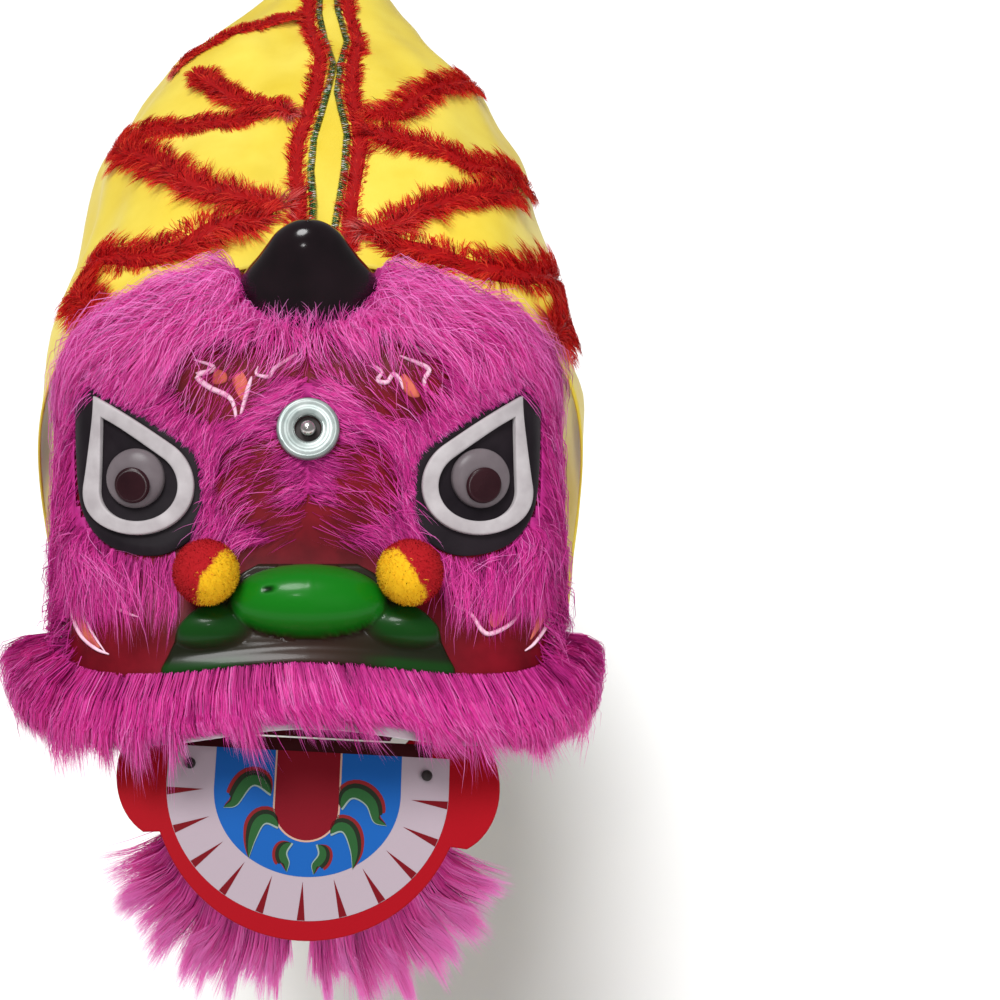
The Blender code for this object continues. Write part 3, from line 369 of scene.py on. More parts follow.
def steepness(surface, u, v):
    u, v = np.broadcast_arrays(np.asarray(u, float), np.asarray(v, float))
    across, along = surface_ways(surface, u, v)
    return unit(np.cross(along, across))


def plain_head(u, v):
    return hood_points(HEAD_SECTIONS, u, v)


def plain_cape(u, v):
    return hood_points(CAPE_SECTIONS, u, v)


def head_surface(u, v):
    points = plain_head(u, v)
    rise = np.zeros(points.shape[:-1])
    for values in HEAD_RELIEF:
        bump = dict(zip(RELIEF_COLUMNS, values))
        across = (np.abs(points[..., 0]) - bump["centre_x"]) / bump["reach_x"]
        along = (v - bump["centre_v"]) / bump["reach_v"]
        rise = rise + bump["height"] * np.exp(-across**2 - along**2)
    return points + steepness(plain_head, u, v) * rise[..., None]


def cape_surface(u, v):
    """The cloth, with upright folds that deepen towards its hem."""
    u, v = np.broadcast_arrays(np.asarray(u, float), np.asarray(v, float))
    low = np.clip((np.abs(u) - 0.55) / 0.45, 0.0, 1.0)
    behind = np.clip((v - 0.72) / 0.28, 0.0, 1.0) * np.clip((np.abs(u) - 0.22) / 0.20, 0.0, 1.0)
    sides = low * np.sin(2 * math.pi * CAPE_FOLDS * v + np.where(u > 0, 0.8, 0.0))
    rear = behind * (1 - low) * np.sin(2 * math.pi * CAPE_REAR_FOLDS * u)
    depth = CAPE_FOLD_DEPTH * (sides + rear)
    return plain_cape(u, v) - steepness(plain_cape, u, v) * depth[..., None]


def wrinkled_cape(u, v):
    """The cloth with its small creases, which fade out at its front edge."""
    u, v = np.broadcast_arrays(np.asarray(u, float), np.asarray(v, float))
    fade = np.clip(v / 0.06, 0.0, 1.0)
    creases = (
        0.0030 * np.sin(9.0 * u + 21.0 * v + 2.0 * np.sin(5.0 * v + 3.0 * u))
        + 0.0020 * np.sin(23.0 * u - 31.0 * v + 1.7 * np.sin(11.0 * u))
        + 0.0008 * np.sin(47.0 * u + 9.0 * v + 2.5 * np.sin(17.0 * v))
    )
    return cape_surface(u, v) + cape_normal(u, v) * (creases * fade)[..., None]


def head_normal(u, v):
    return steepness(head_surface, u, v)


def cape_normal(u, v):
    return -steepness(cape_surface, u, v)


def above_head(u, v, lift):
    return head_surface(u, v) + head_normal(u, v) * np.asarray(lift, float)[..., None]


def above_cape(u, v, lift):
    return wrinkled_cape(u, v) + cape_normal(u, v) * np.asarray(lift, float)[..., None]


def u_of_x(x, v, sections=HEAD_SECTIONS):
    """Where a section at v stands x from its middle."""
    x, v = np.broadcast_arrays(np.asarray(x, float), np.asarray(v, float))
    row = sections_at(sections, v)
    share = np.minimum(np.abs(x) / row["half_width"], 0.999)
    power = row["squareness"]
    slope = (share**power / (1 - share**power)) ** (1 / power)
    return np.copysign(np.arctan(slope) * 2 / math.pi, x)


def head_at(x, v, lift):
    return above_head(u_of_x(x, v), v, lift)


def head_frame(x, v):
    """A place on the head with its directions across (+X side), up the slope and out."""
    u = u_of_x(x, v)
    out = head_normal(u, v)
    up = head_surface(u, v - 0.01) - head_surface(u, v + 0.01)
    up = unit(up - out * up.dot(out))
    return head_surface(u, v), np.cross(up, out), up, out


# Materials

def shader_of(name, colour, roughness, metallic=0.0, coat=0.0, sheen=0.0, specular=0.14):
    made = bpy.data.materials.new(name)
    made.use_nodes = True
    shader = made.node_tree.nodes["Principled BSDF"]
    shader.inputs["Base Color"].default_value = (*colour, 1.0)
    shader.inputs["Roughness"].default_value = roughness
    shader.inputs["Metallic"].default_value = metallic
    shader.inputs["Coat Weight"].default_value = coat
    shader.inputs["Coat Roughness"].default_value = 0.12
    shader.inputs["Sheen Weight"].default_value = sheen
    shader.inputs["Sheen Roughness"].default_value = 0.4
    shader.inputs["Specular IOR Level"].default_value = specular
    return made, made.node_tree, shader


def texture_at(tree, scale, detail):
    """A noise texture in the object's own metres."""
    place = tree.nodes.new("ShaderNodeTexCoord")
    noise = tree.nodes.new("ShaderNodeTexNoise")
    noise.inputs["Scale"].default_value = scale
    noise.inputs["Detail"].default_value = detail
    tree.links.new(place.outputs["Object"], noise.inputs["Vector"])
    return noise


def mottled(tree, shader, dark, light, scale, detail=4.0):
    """Colour that wanders between two shades."""
    noise = texture_at(tree, scale, detail)
    ramp = tree.nodes.new("ShaderNodeValToRGB")
    ramp.color_ramp.elements[0].position = 0.30
    ramp.color_ramp.elements[0].color = (*dark, 1.0)
    ramp.color_ramp.elements[1].position = 0.70
    ramp.color_ramp.elements[1].color = (*light, 1.0)
    tree.links.new(noise.outputs["Fac"], ramp.inputs["Fac"])
    tree.links.new(ramp.outputs["Color"], shader.inputs["Base Color"])
    return noise


def bumped(tree, shader, height, strength, distance):
    """Fine relief that only the light shows."""
    bump = tree.nodes.new("ShaderNodeBump")
    bump.inputs["Strength"].default_value = strength
    bump.inputs["Distance"].default_value = distance
    tree.links.new(height, bump.inputs["Height"])
    tree.links.new(bump.outputs["Normal"], shader.inputs["Normal"])


def roughness_range(tree, shader, noise, low, high):
    """Gloss that wanders between two values."""
    spread = tree.nodes.new("ShaderNodeMapRange")
    spread.inputs["To Min"].default_value = low
    spread.inputs["To Max"].default_value = high
    tree.links.new(noise.outputs["Fac"], spread.inputs["Value"])
    tree.links.new(spread.outputs["Result"], shader.inputs["Roughness"])


def tint_colour(tree, shader):
    """The colour that is painted on the mesh."""
    tint = tree.nodes.new("ShaderNodeAttribute")
    tint.attribute_name = "tint"
    tree.links.new(tint.outputs["Color"], shader.inputs["Base Color"])


ORANGE_PEEL = 0.00008


def moulded(name, dark, light, low, high, coat=0.0, scale=40.0, metallic=0.0):
    """Painted or moulded plastic: slight mottling, uneven gloss and a faint orange peel."""
    made, tree, shader = shader_of(name, light, low, metallic, coat)
    noise = mottled(tree, shader, dark, light, scale)
    roughness_range(tree, shader, noise, low, high)
    bumped(tree, shader, texture_at(tree, 260.0, 3.0).outputs["Fac"], 0.5, ORANGE_PEEL)
    return made


def tinted(name, roughness, coat=0.0, grain=900.0, bump=0.00005, specular=0.4):
    """A material whose colour is painted on the mesh."""
    made, tree, shader = shader_of(name, (0.5, 0.5, 0.5), roughness, 0.0, coat, 0.0, specular)
    tint_colour(tree, shader)
    bumped(tree, shader, texture_at(tree, grain, 2.0).outputs["Fac"], 0.4, bump)
    return made


def hairy(name, roughness, through):
    """Painted strands that let a share of the light through, so the fur has no black gaps."""
    made, tree, shader = shader_of(name, (0.5, 0.5, 0.5), roughness, specular=0.2)
    tint_colour(tree, shader)
    glow = tree.nodes.new("ShaderNodeBsdfTranslucent")
    tree.links.new(tree.nodes["Attribute"].outputs["Color"], glow.inputs["Color"])
    both = tree.nodes.new("ShaderNodeMixShader")
    both.inputs[0].default_value = through
    tree.links.new(shader.outputs["BSDF"], both.inputs[1])
    tree.links.new(glow.outputs["BSDF"], both.inputs[2])
    tree.links.new(both.outputs["Shader"], tree.nodes["Material Output"].inputs["Surface"])
    return made


def woven(name, dark, light, roughness, sheen, thread, scale):
    """Cloth: fine crossed threads over slow changes of shade."""
    made, tree, shader = shader_of(name, light, roughness, 0.0, 0.0, sheen)
    mottled(tree, shader, dark, light, scale, 5.0)
    place = tree.nodes.new("ShaderNodeTexCoord")
    heights = []
    for direction in ("X", "DIAGONAL"):
        wave = tree.nodes.new("ShaderNodeTexWave")
        wave.bands_direction = direction
        wave.inputs["Scale"].default_value = 2 * math.pi / (20 * thread)
        tree.links.new(place.outputs["Object"], wave.inputs["Vector"])
        heights.append(wave.outputs["Fac"])
    both = tree.nodes.new("ShaderNodeMath")
    both.operation = "MULTIPLY"
    tree.links.new(heights[0], both.inputs[0])
    tree.links.new(heights[1], both.inputs[1])
    bumped(tree, shader, both.outputs["Value"], 0.35, thread * 0.25)
    return made


MATERIALS = {
    "shell": moulded("painted_shell", (0.080, 0.0015, 0.005), (0.170, 0.004, 0.011), 0.34, 0.48),
    "horn": moulded("black_horn", (0.004, 0.002, 0.003), (0.009, 0.004, 0.006), 0.12, 0.20, coat=0.25),
    "panel": moulded("black_panel", (0.006, 0.004, 0.006), (0.014, 0.010, 0.013), 0.34, 0.45),
    "ring": moulded("ring_plastic", (0.32, 0.29, 0.30), (0.43, 0.40, 0.41), 0.36, 0.48, scale=70.0),
    "eyeball": moulded("grey_eyeball", (0.100, 0.082, 0.090), (0.150, 0.125, 0.135), 0.26, 0.36),
    "pupil": moulded("brown_pupil", (0.014, 0.004, 0.006), (0.028, 0.008, 0.011), 0.22, 0.32),
    "metal": moulded(
        "disc_metal", (0.22, 0.26, 0.25), (0.34, 0.37, 0.36), 0.34, 0.46, scale=120.0, metallic=0.6,
    ),
    # near-black floor in the mirror's hole: painted shade
    "recess_shade_metal": moulded("painted_recess_shade", (0.020, 0.018, 0.018), (0.06, 0.05, 0.05), 0.4, 0.5, metallic=0.6),
    "bolt": moulded(
        "bolt_metal", (0.52, 0.49, 0.48), (0.74, 0.70, 0.69), 0.18, 0.28, scale=160.0, metallic=1.0,
    ),
    "scroll": moulded("scroll_paint", (0.70, 0.42, 0.54), (0.85, 0.62, 0.72), 0.40, 0.5, scale=90.0),
    "flame": moulded("flame_paint", (0.42, 0.075, 0.050), (0.62, 0.16, 0.10), 0.35, 0.5, scale=90.0),
    "nose": tinted("green_nose", 0.32, coat=0.12, grain=120.0, bump=0.0001, specular=0.12),
    "fur": hairy("fur_strands", 0.50, 0.50),
    "yarn": hairy("yarn_strands", 0.85, 0.30),
    "print": tinted("printed_board", 0.45, grain=300.0, specular=0.05),
    "sequin": tinted("sequins", 0.25, coat=0.3, grain=300.0, specular=0.6),
    "satin": woven("yellow_satin", (0.64, 0.47, 0.030), (0.76, 0.62, 0.085), 0.42, 0.05, 0.0007, 14.0),
    "maroon": woven("maroon_cloth", (0.045, 0.003, 0.006), (0.075, 0.006, 0.010), 0.75, 0.2, 0.0008, 30.0),
    "binding": woven("pale_binding", (0.44, 0.39, 0.42), (0.60, 0.55, 0.58), 0.70, 0.3, 0.0006, 60.0),
    "cord": woven("black_cord", (0.010, 0.008, 0.008), (0.025, 0.020, 0.020), 0.65, 0.2, 0.0005, 200.0),
}


# Meshes

def raw_mesh(name, vertices, quads, triangles=()):
    """A mesh from arrays of points, quads and triangles."""
    mesh = bpy.data.meshes.new(name)
    vertices = np.asarray(vertices, dtype=np.float32)
    quads = np.asarray(quads, dtype=np.int32).reshape(-1, 4)
    triangles = np.asarray(triangles, dtype=np.int32).reshape(-1, 3)
    mesh.vertices.add(len(vertices))
    mesh.vertices.foreach_set("co", vertices.ravel())
    corners = np.concatenate((quads.ravel(), triangles.ravel()))
    mesh.loops.add(len(corners))
    mesh.loops.foreach_set("vertex_index", corners)
    starts = np.concatenate((
        np.arange(len(quads)) * 4, len(quads) * 4 + np.arange(len(triangles)) * 3,
    )).astype(np.int32)
    mesh.polygons.add(len(starts))
    mesh.polygons.foreach_set("loop_start", starts)
    mesh.update(calc_edges=True)
    mesh.validate()
    return mesh


def paint(mesh, colours):
    """Writes one colour a point into the attribute that tinted materials read."""
    rgba = np.ones((len(mesh.vertices), 4), dtype=np.float32)
    rgba[:, :3] = colours
    layer = mesh.color_attributes.new(name="tint", type="FLOAT_COLOR", domain="POINT")
    layer.data.foreach_set("color", rgba.ravel())


def piece(mesh, material, nodes=(), smooth=True, sharp=None):
    """An object that rides on the costume, takes a finish and stands for CAD nodes."""
    made = bpy.data.objects.new(mesh.name, mesh)
    bpy.context.scene.collection.objects.link(made)
    mesh.materials.append(MATERIALS[material])
    if smooth:
        mesh.shade_smooth()
    if sharp:
        mesh.set_sharp_from_angle(angle=math.radians(sharp))
    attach(made, "root")
    if nodes:
        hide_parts(*nodes)
    return made


def grid_quads(columns, rows, wrap=False):
    """Quads of a grid of points that is stored row by row."""
    across = columns if wrap else columns - 1
    row, column = np.meshgrid(np.arange(rows - 1), np.arange(across), indexing="ij")
    following = (column + 1) % columns
    near, far = row * columns, (row + 1) * columns
    corners = (near + column, near + following, far + following, far + column)
    return np.stack(corners, axis=-1).reshape(-1, 4)


def face_away(mesh, inside):
    """Turns a mesh's faces away from a point inside it."""
    total = 0.0
    for face in mesh.polygons:
        total += face.normal.dot(face.center - Vector(inside)) * face.area
    if total < 0:
        mesh.flip_normals()


def wall(made, thickness):
    """Gives a sheet its thickness, inwards from its faces."""
    solid = made.modifiers.new("wall", "SOLIDIFY")
    solid.thickness = thickness
    solid.offset = -1.0


def sheet_mesh(name, points, inside):
    """An open sheet from a grid of points, faced away from a point inside."""
    rows, columns = points.shape[:2]
    mesh = raw_mesh(name, points.reshape(-1, 3), grid_quads(columns, rows))
    face_away(mesh, inside)
    return mesh


def hood_grid(surface, columns, rows):
    u = np.linspace(-1.0, 1.0, columns)[None, :]
    v = np.linspace(0.0, 1.0, rows)[:, None]
    return surface(u, v)


def turned_mesh(name, profile, sides, place):
    """A turned solid: a profile of (radius, height) swept round the direction out of a frame.

    A profile that starts on the axis is a filled solid, and any other is a ring, which joins its own start.
    """
    foot, across, up, out = place
    turn = 2 * math.pi * np.arange(sides) / sides
    ring = np.outer(np.cos(turn), across) + np.outer(np.sin(turn), up)
    rings = [foot + ring * max(radius, 0.00002) + out * height for radius, height in profile]
    filled = profile[0][0] == 0
    rows = len(rings) if filled else len(rings) + 1
    quads = grid_quads(sides, rows, wrap=True) % (len(rings) * sides)
    mesh = raw_mesh(name, np.concatenate(rings), quads)
    if filled:
        face_away(mesh, foot + out * max(height for radius, height in profile) / 2)
    return mesh


def rounded(points, samples=6):
    """A profile with its corners eased by a quadratic curve through each."""
    points = np.array(points, float)
    result = [points[0]]
    for index in range(1, len(points) - 1):
        before = (points[index - 1] + points[index]) / 2
        after = (points[index] + points[index + 1]) / 2
        for share in np.linspace(0.0, 1.0, samples):
            result.append(drawn_curve(before, points[index], after, share))
    result.append(points[-1])
    return [tuple(point) for point in result]


def tube_mesh(name, centres, radii, sides=10):
    """A round tube through points, closed at both ends."""
    centres, radii = np.array(centres, float), np.asarray(radii, float)
    run = unit(np.gradient(centres, axis=0))
    any_way = np.array((0.31, 0.42, 0.85))
    across = unit(np.cross(run, any_way))
    along = np.cross(run, across)
    turn = 2 * math.pi * np.arange(sides) / sides
    ring = across[:, None] * np.cos(turn)[:, None] + along[:, None] * np.sin(turn)[:, None]
    points = (centres[:, None] + ring * radii[:, None, None]).reshape(-1, 3)
    quads = grid_quads(sides, len(centres), wrap=True)
    ends = len(points)
    points = np.vstack((points, centres[:1], centres[-1:]))
    first = np.arange(sides)
    last = first + (len(centres) - 1) * sides
    caps = [(ends, (step + 1) % sides, step) for step in first]
    caps += [(ends + 1, last[step], last[(step + 1) % sides]) for step in range(sides)]
    return raw_mesh(name, points, quads, caps)


def inside_outline(outline, x, y):
    """Whether points (x, y) lie inside a closed outline."""
    inside = np.zeros(np.shape(x), bool)
    for (x0, y0), (x1, y1) in zip(outline, np.roll(outline, -1, axis=0)):
        crosses = (y0 > y) != (y1 > y)
        inside ^= crosses & (x < (x1 - x0) * (y - y0) / (y1 - y0 + 1e-12) + x0)
    return inside


# Fur

def shades(table, tone):
    """Colours between a fur's shaded, middle and lit shade, for tones from 0 to 1."""
    tone = np.clip(tone, 0.0, 1.0)
    place = np.linspace(0.0, 1.0, len(table))
    return np.stack([np.interp(tone, place, column) for column in np.array(table, float).T], axis=-1)


def clumped(points, per_clump, pull, random):
    """Strands drawn towards the nearest of a few leading strands, more so at their tips."""
    count, knots = points.shape[:2]
    leaders = random.choice(count, max(count // per_clump, 1), replace=False)
    tree = KDTree(len(leaders))
    for index, leader in enumerate(leaders):
        tree.insert(points[leader, 0], index)
    tree.balance()
    nearest = np.array([tree.find(point)[1] for point in points[:, 0]])
    share = np.linspace(0.0, 1.0, knots)[None, :, None]
    return points + (points[leaders[nearest]] - points) * pull * share**1.2, nearest


STRAND_WIDTHS = (0.7, 1.3)
STRAND_CURL = 0.9
STRAND_TAPER = 0.75


def per_vertex(values):
    """Values at the points of strands, for the vertices: two at each point, and one at the tip."""
    pairs = np.repeat(values[:, :-1], 2, axis=1)
    return np.concatenate((pairs, values[:, -1:]), axis=1).reshape(-1, 3)


def strands(name, points, outward, width, colours, random, nodes=(), material="fur"):
    """Tapered flat strands through rows of points, as one mesh.

    points and outward are (count, knots, 3), width is the strands' usual width, and colours is one
    colour for each of the points.
    """
    count, knots = points.shape[:2]
    widths = width * random.uniform(*STRAND_WIDTHS, count)
    run = unit(np.gradient(points, axis=1))
    side = unit(np.cross(run, outward))
    rise = np.cross(side, run)
    twist = random.normal(0.0, STRAND_CURL, (count, 1, 1))
    turned = side * np.cos(twist) + rise * np.sin(twist)
    taper = np.array([1.0 - STRAND_TAPER * (knot / (knots - 1)) ** 1.6 for knot in range(knots)])
    half = (widths[:, None] * taper[None, :] / 2)[..., None]
    left, right = points - turned * half, points + turned * half
    body = np.stack((left[:, :-1], right[:, :-1]), axis=2).reshape(count, 2 * (knots - 1), 3)
    vertices = np.concatenate((body, points[:, -1:]), axis=1)
    size = vertices.shape[1]
    root = np.arange(count) * size
    quads = []
    for knot in range(knots - 2):
        quads.append(np.stack([root + 2 * knot + step for step in (0, 1, 3, 2)], axis=-1))
    tips = np.stack([root + size - step for step in (3, 2, 1)], axis=-1)
    mesh = raw_mesh(name, vertices.reshape(-1, 3), np.concatenate(quads), tips)
    paint(mesh, per_vertex(colours))
    piece(mesh, material, nodes)
    own = np.cross(run, turned)
    own *= np.sign(np.sum(own * outward, axis=-1, keepdims=True) + 1e-9)
    normals = unit(outward * 1.7 + own * 0.8)
    mesh.normals_split_custom_set_from_vertices(per_vertex(normals).tolist())


def trace(surface, normal, u, v, heading, length, lift, knots):
    """Strands that follow a surface from (u, v) along a field of headings (across, down)."""
    u, v = u.copy(), v.copy()
    points, outward = [], []
    for knot in range(knots):
        share = knot / (knots - 1)
        out = normal(u, v)
        points.append(surface(u, v) + out * lift(share)[:, None])
        outward.append(out)
        across, along = surface_ways(surface, u, v)
        aside, down = heading(u, v)
        step = length / (knots - 1)
        u = np.clip(u + aside * step / np.maximum(np.linalg.norm(across, axis=-1), 0.02), -1.0, 1.0)
        v = np.clip(v + down * step / np.maximum(np.linalg.norm(along, axis=-1), 0.02), 0.0, 1.0)
    return np.stack(points, axis=1), np.stack(outward, axis=1)


MIDDLE_TONE = 0.45
CLUMP_TONES = 0.12
OWN_TONES = 0.11
TIP_TONE = 0.32


def strand_tones(count, knots, clump, random, base):
    """How light each point of each strand is: by clump, by strand and from root to tip."""
    share = np.linspace(0.0, 1.0, knots)[None, :]
    clumps = random.normal(0.0, CLUMP_TONES, clump.max() + 1)
    own = random.normal(0.0, OWN_TONES, (count, 1))
    return MIDDLE_TONE + base + clumps[clump][:, None] + own + TIP_TONE * (share - 0.35)


def clumped_fur(name, points, outward, make, random, base, lighter=0.0, nodes=()):
    """Magenta strands in clumps. base brightens them all, and lighter each strand or point on its own."""
    width, per_clump, pull = make
    points, clump = clumped(points, per_clump, pull, random)
    tone = strand_tones(*points.shape[:2], clump, random, base) + lighter
    strands(name, points, outward, width, shades(MAGENTA, tone), random, nodes)


PANEL_EDGE = closed_path(PANEL_OUTLINE, 60)


def panel_distance(x, v):
    """How far a place on the face is from the eye panel, negative inside it."""
    out, up = np.abs(x) - EYE_X, (EYE_V - v) * PROFILE_LENGTH
    gaps = np.hypot(out[..., None] - PANEL_EDGE[:, 0], up[..., None] - PANEL_EDGE[:, 1]).min(axis=-1)
    return np.where(inside_outline(PANEL_EDGE, out, up), -gaps, gaps)


# Where the head's fur ends: u, v, and x from the middle
CREST_LINE_X = (0.000, 0.038, 0.046, 0.085, 0.120, 0.150, 0.200)
CREST_LINE_V = (0.240, 0.190, 0.115, 0.160, 0.200, 0.215, 0.225)
CREST_HALF_X = 0.052
FOREHEAD_HALF_X = 0.058
FOREHEAD_V = 0.40
FOREHEAD_END_V = 0.655
PARTING_HALF_X = 0.030
NOSE_BARE_HALF_X = 0.080
NOSE_BARE_V = 0.670
CHEEK_V = 0.60
CHEEK_END_V = 0.715
FLANK_U = 0.54
CORNER_U = 0.60
CORNER_V = 0.90
HEAD_BARE = (
    # centre x, centre v, half width, half length, all for both sides
    (0.108, 0.815, 0.036, 0.030),
    (0.052, 0.350, 0.036, 0.080),
    (0.034, 0.535, 0.026, 0.095),
    (0.000, 0.310, 0.030, 0.045),
    (0.000, 0.620, 0.030, 0.050),
)


def head_cover(u, v, x, foot=1.0):
    """How dense the head's fur is at a place, from 0 to 1, and none inside the horn's foot."""
    across = np.abs(x)
    cover = np.ones(np.shape(x))
    line = np.interp(across, CREST_LINE_X, CREST_LINE_V)
    line = np.where(across < CREST_HALF_X, line - 0.05 * (1 - foot) / 0.2, line)
    cover = np.where(v < line, 0.0, cover)
    horn = np.hypot(x / (HORN_HALF_X * 0.94), (v - HORN_V) * PROFILE_LENGTH / (HORN_HALF_Y * 1.05))
    cover = np.where(horn < foot, 0.0, cover)
    cover = np.where(panel_distance(x, v) < 0.001, 0.0, cover)
    mirror = np.hypot(x, (v - MIRROR_V) * PROFILE_LENGTH)
    cover = np.where(mirror < MIRROR_RADIUS * 0.9, 0.0, cover)
    forehead = (across < FOREHEAD_HALF_X) & (v > FOREHEAD_V)
    cover = np.where(forehead & (v > FOREHEAD_END_V), 0.0, cover)
    cover = np.where((across < NOSE_BARE_HALF_X) & (v > NOSE_BARE_V), 0.0, cover)
    cover = np.where(forehead & (across < PARTING_HALF_X), cover * 0.7, cover)
    for centre_x, centre_v, half_x, half_v in HEAD_BARE:
        gap = np.hypot((across - centre_x) / half_x, (v - centre_v) / half_v)
        cover = cover * np.clip((gap - 0.78) * 2.4, 0.04, 1.0)
    lower = np.clip((CHEEK_END_V - v) / 0.11, 0.0, 1.0) ** 1.5
    flank = np.clip((np.abs(u) - 0.56) / 0.08, 0.0, 1.0)
    cover = np.where(v > CHEEK_V, cover * (lower + (1 - lower) * flank), cover)
    return np.where((np.abs(u) > CORNER_U) & (v > CORNER_V), 0.0, cover)


def head_heading(u, v):
    """Which way the head's fur lies: (across, down), outwards from the crown and down the cheeks."""
    x = plain_head(u, v)[..., 0]
    side = np.where(x < 0, -1.0, 1.0)
    across = np.abs(x)
    crown = np.arctan2((v - 0.02) * PROFILE_LENGTH, across)
    forehead = np.radians(np.interp(across, (0.0, 0.03, 0.06, 0.09), (25.0, 20.0, 70.0, 45.0)))
    below = np.clip((v - 0.30) / 0.08, 0.0, 1.0)
    angle = crown * (1 - below) + forehead * below
    cheek = np.clip((v - 0.62) / 0.05, 0.0, 1.0) * np.clip((across - 0.06) / 0.02, 0.0, 1.0)
    angle = angle * (1 - cheek) + np.radians(86.0) * cheek
    flank = np.clip((np.abs(u) - FLANK_U) / 0.06, 0.0, 1.0)
    angle = angle * (1 - flank) + np.radians(48.0) * flank
    waves = 0.22 * np.sin(90.0 * x + 31.0 * v) + 0.16 * np.sin(61.0 * v - 140.0 * x + 2.0)
    angle = angle + waves * (1 - 0.6 * below)
    return side * np.cos(angle), np.sin(angle)


FUR_DEPTH_V = (0.10, 0.18, 0.28, 0.36, 0.50, 0.64, 0.72)
FUR_DEPTHS = (0.021, 0.020, 0.013, 0.006, 0.005, 0.006, 0.009)


def fur_depth(u, v, x):
    """How thick the head's fur is."""
    across = np.abs(x)
    depth = np.interp(v, FUR_DEPTH_V, FUR_DEPTHS)
    centre = np.clip((0.050 - across) / 0.03, 0.0, 1.0) * np.clip((v - 0.27) / 0.05, 0.0, 1.0)
    depth = depth * (1 - 0.6 * centre)
    flank = np.clip((np.abs(u) - FLANK_U) / 0.06, 0.0, 1.0)
    depth = depth * (1 - flank) + 0.011 * flank
    near = np.maximum(panel_distance(x, v), 0.0)
    return np.minimum(depth, 0.0030 + 0.30 * near)


LOOSE_SHARE = 0.10
WILD_START_V = 0.13
HEAD_FUR_COLUMNS = ("u_range", "v_range", "count", "length", "knots", "width")
HEAD_FURS = {
    "crest_fur": ((0.00, 0.62), (0.10, 0.300), 8200, 0.036, 5, 0.00052),
    "brow_fur": ((0.00, 0.55), (0.300, 0.440), 6200, 0.022, 4, 0.00046),
    "temple_fur": ((0.00, 0.40), (0.440, 0.660), 3400, 0.022, 4, 0.00042),
    "cheek_fur": ((0.30, 0.56), (0.600, 0.740), 4200, 0.044, 5, 0.00045),
    "side_fur": ((0.44, 0.96), (0.230, 0.920), 7400, 0.034, 4, 0.00058),
}


def head_roots(u_range, v_range, side, count, random):
    """Root places on one side of the head, spread by area and by how dense the fur is there."""
    tries = count * 12
    u = side * random.uniform(*u_range, tries)
    v = random.uniform(*v_range, tries)
    across, along = surface_ways(plain_head, u, v)
    area = np.linalg.norm(np.cross(across, along), axis=-1)
    x = plain_head(u, v)[..., 0]
    weight = area * head_cover(u, v, x, 0.93)
    chosen = random.choice(tries, count, replace=False, p=weight / weight.sum())
    return u[chosen], v[chosen]


def cut_lengths(u, v, x, aside, down, length, random):
    """Lengths of the head's strands, cut where most would lie over a bare place or an eye."""
    tip_x, tip_v = x + aside * length, np.clip(v + down * length / PROFILE_LENGTH, 0.0, 1.0)
    in_view = head_cover(u_of_x(tip_x, tip_v), tip_v, tip_x) < 0.35
    cut = in_view & (v < 0.60) & (random.uniform(0.0, 1.0, len(u)) > 0.25)
    length = np.where(cut, length * 0.40, length)
    to_panel = np.maximum(panel_distance(x, v), 0.0)
    short = np.where(v < EYE_V + 0.02, np.minimum(length, to_panel * 0.9 + 0.003), length)
    over_eye = panel_distance(x + aside * length, v + down * length / PROFILE_LENGTH) < 0.004
    return np.where(over_eye, short, length)


def build_head_fur(kind, side, label, seed):
    """One of the head's furs on one side, with a share of wilder strands."""
    row = dict(zip(HEAD_FUR_COLUMNS, HEAD_FURS[kind]))
    random = np.random.default_rng(seed)
    u, v = head_roots(row["u_range"], row["v_range"], side, row["count"], random)
    x = plain_head(u, v)[..., 0]
    loose = random.uniform(0.0, 1.0, len(u)) < LOOSE_SHARE
    wild = np.where(loose, np.clip((v - WILD_START_V) / 0.06, 0.0, 1.0), 0.0)
    depth = fur_depth(u, v, x) * random.uniform(0.35, 1.05, len(u)) * (1 + 0.5 * wild)
    length = row["length"] * random.uniform(0.55, 1.25, len(u)) * (1 + 0.25 * wild)
    lean = random.normal(0.0, 0.16, len(u)) * (1 + 2.0 * wild)

    def lift(share):
        return SEAT_GAP + depth * math.sin(min(share * 1.9, 1.0) * math.pi / 2) * (1 - 0.25 * share**3)

    def heading(at_u, at_v):
        aside, down = head_heading(at_u, at_v)
        return aside * np.cos(lean) - down * np.sin(lean), down * np.cos(lean) + aside * np.sin(lean)

    length = cut_lengths(u, v, x, *heading(u, v), length, random)
    points, outward = trace(head_surface, head_normal, u, v, heading, length, lift, row["knots"])
    lit = np.clip((0.34 - v) / 0.2, -0.6, 1.0) * 0.22
    clumped_fur(
        kind + "_strands_" + label, points, outward, (row["width"], *HEAD_CLUMPS), random, 0.0,
        (lit + 0.25 * loose)[:, None], (kind + "_" + label,),
    )


WISP_X = (-0.044, 0.052)
WISP_V = 0.262
WISP_V_SPREAD = (-0.012, 0.020)
WISP_LENGTH = 0.026


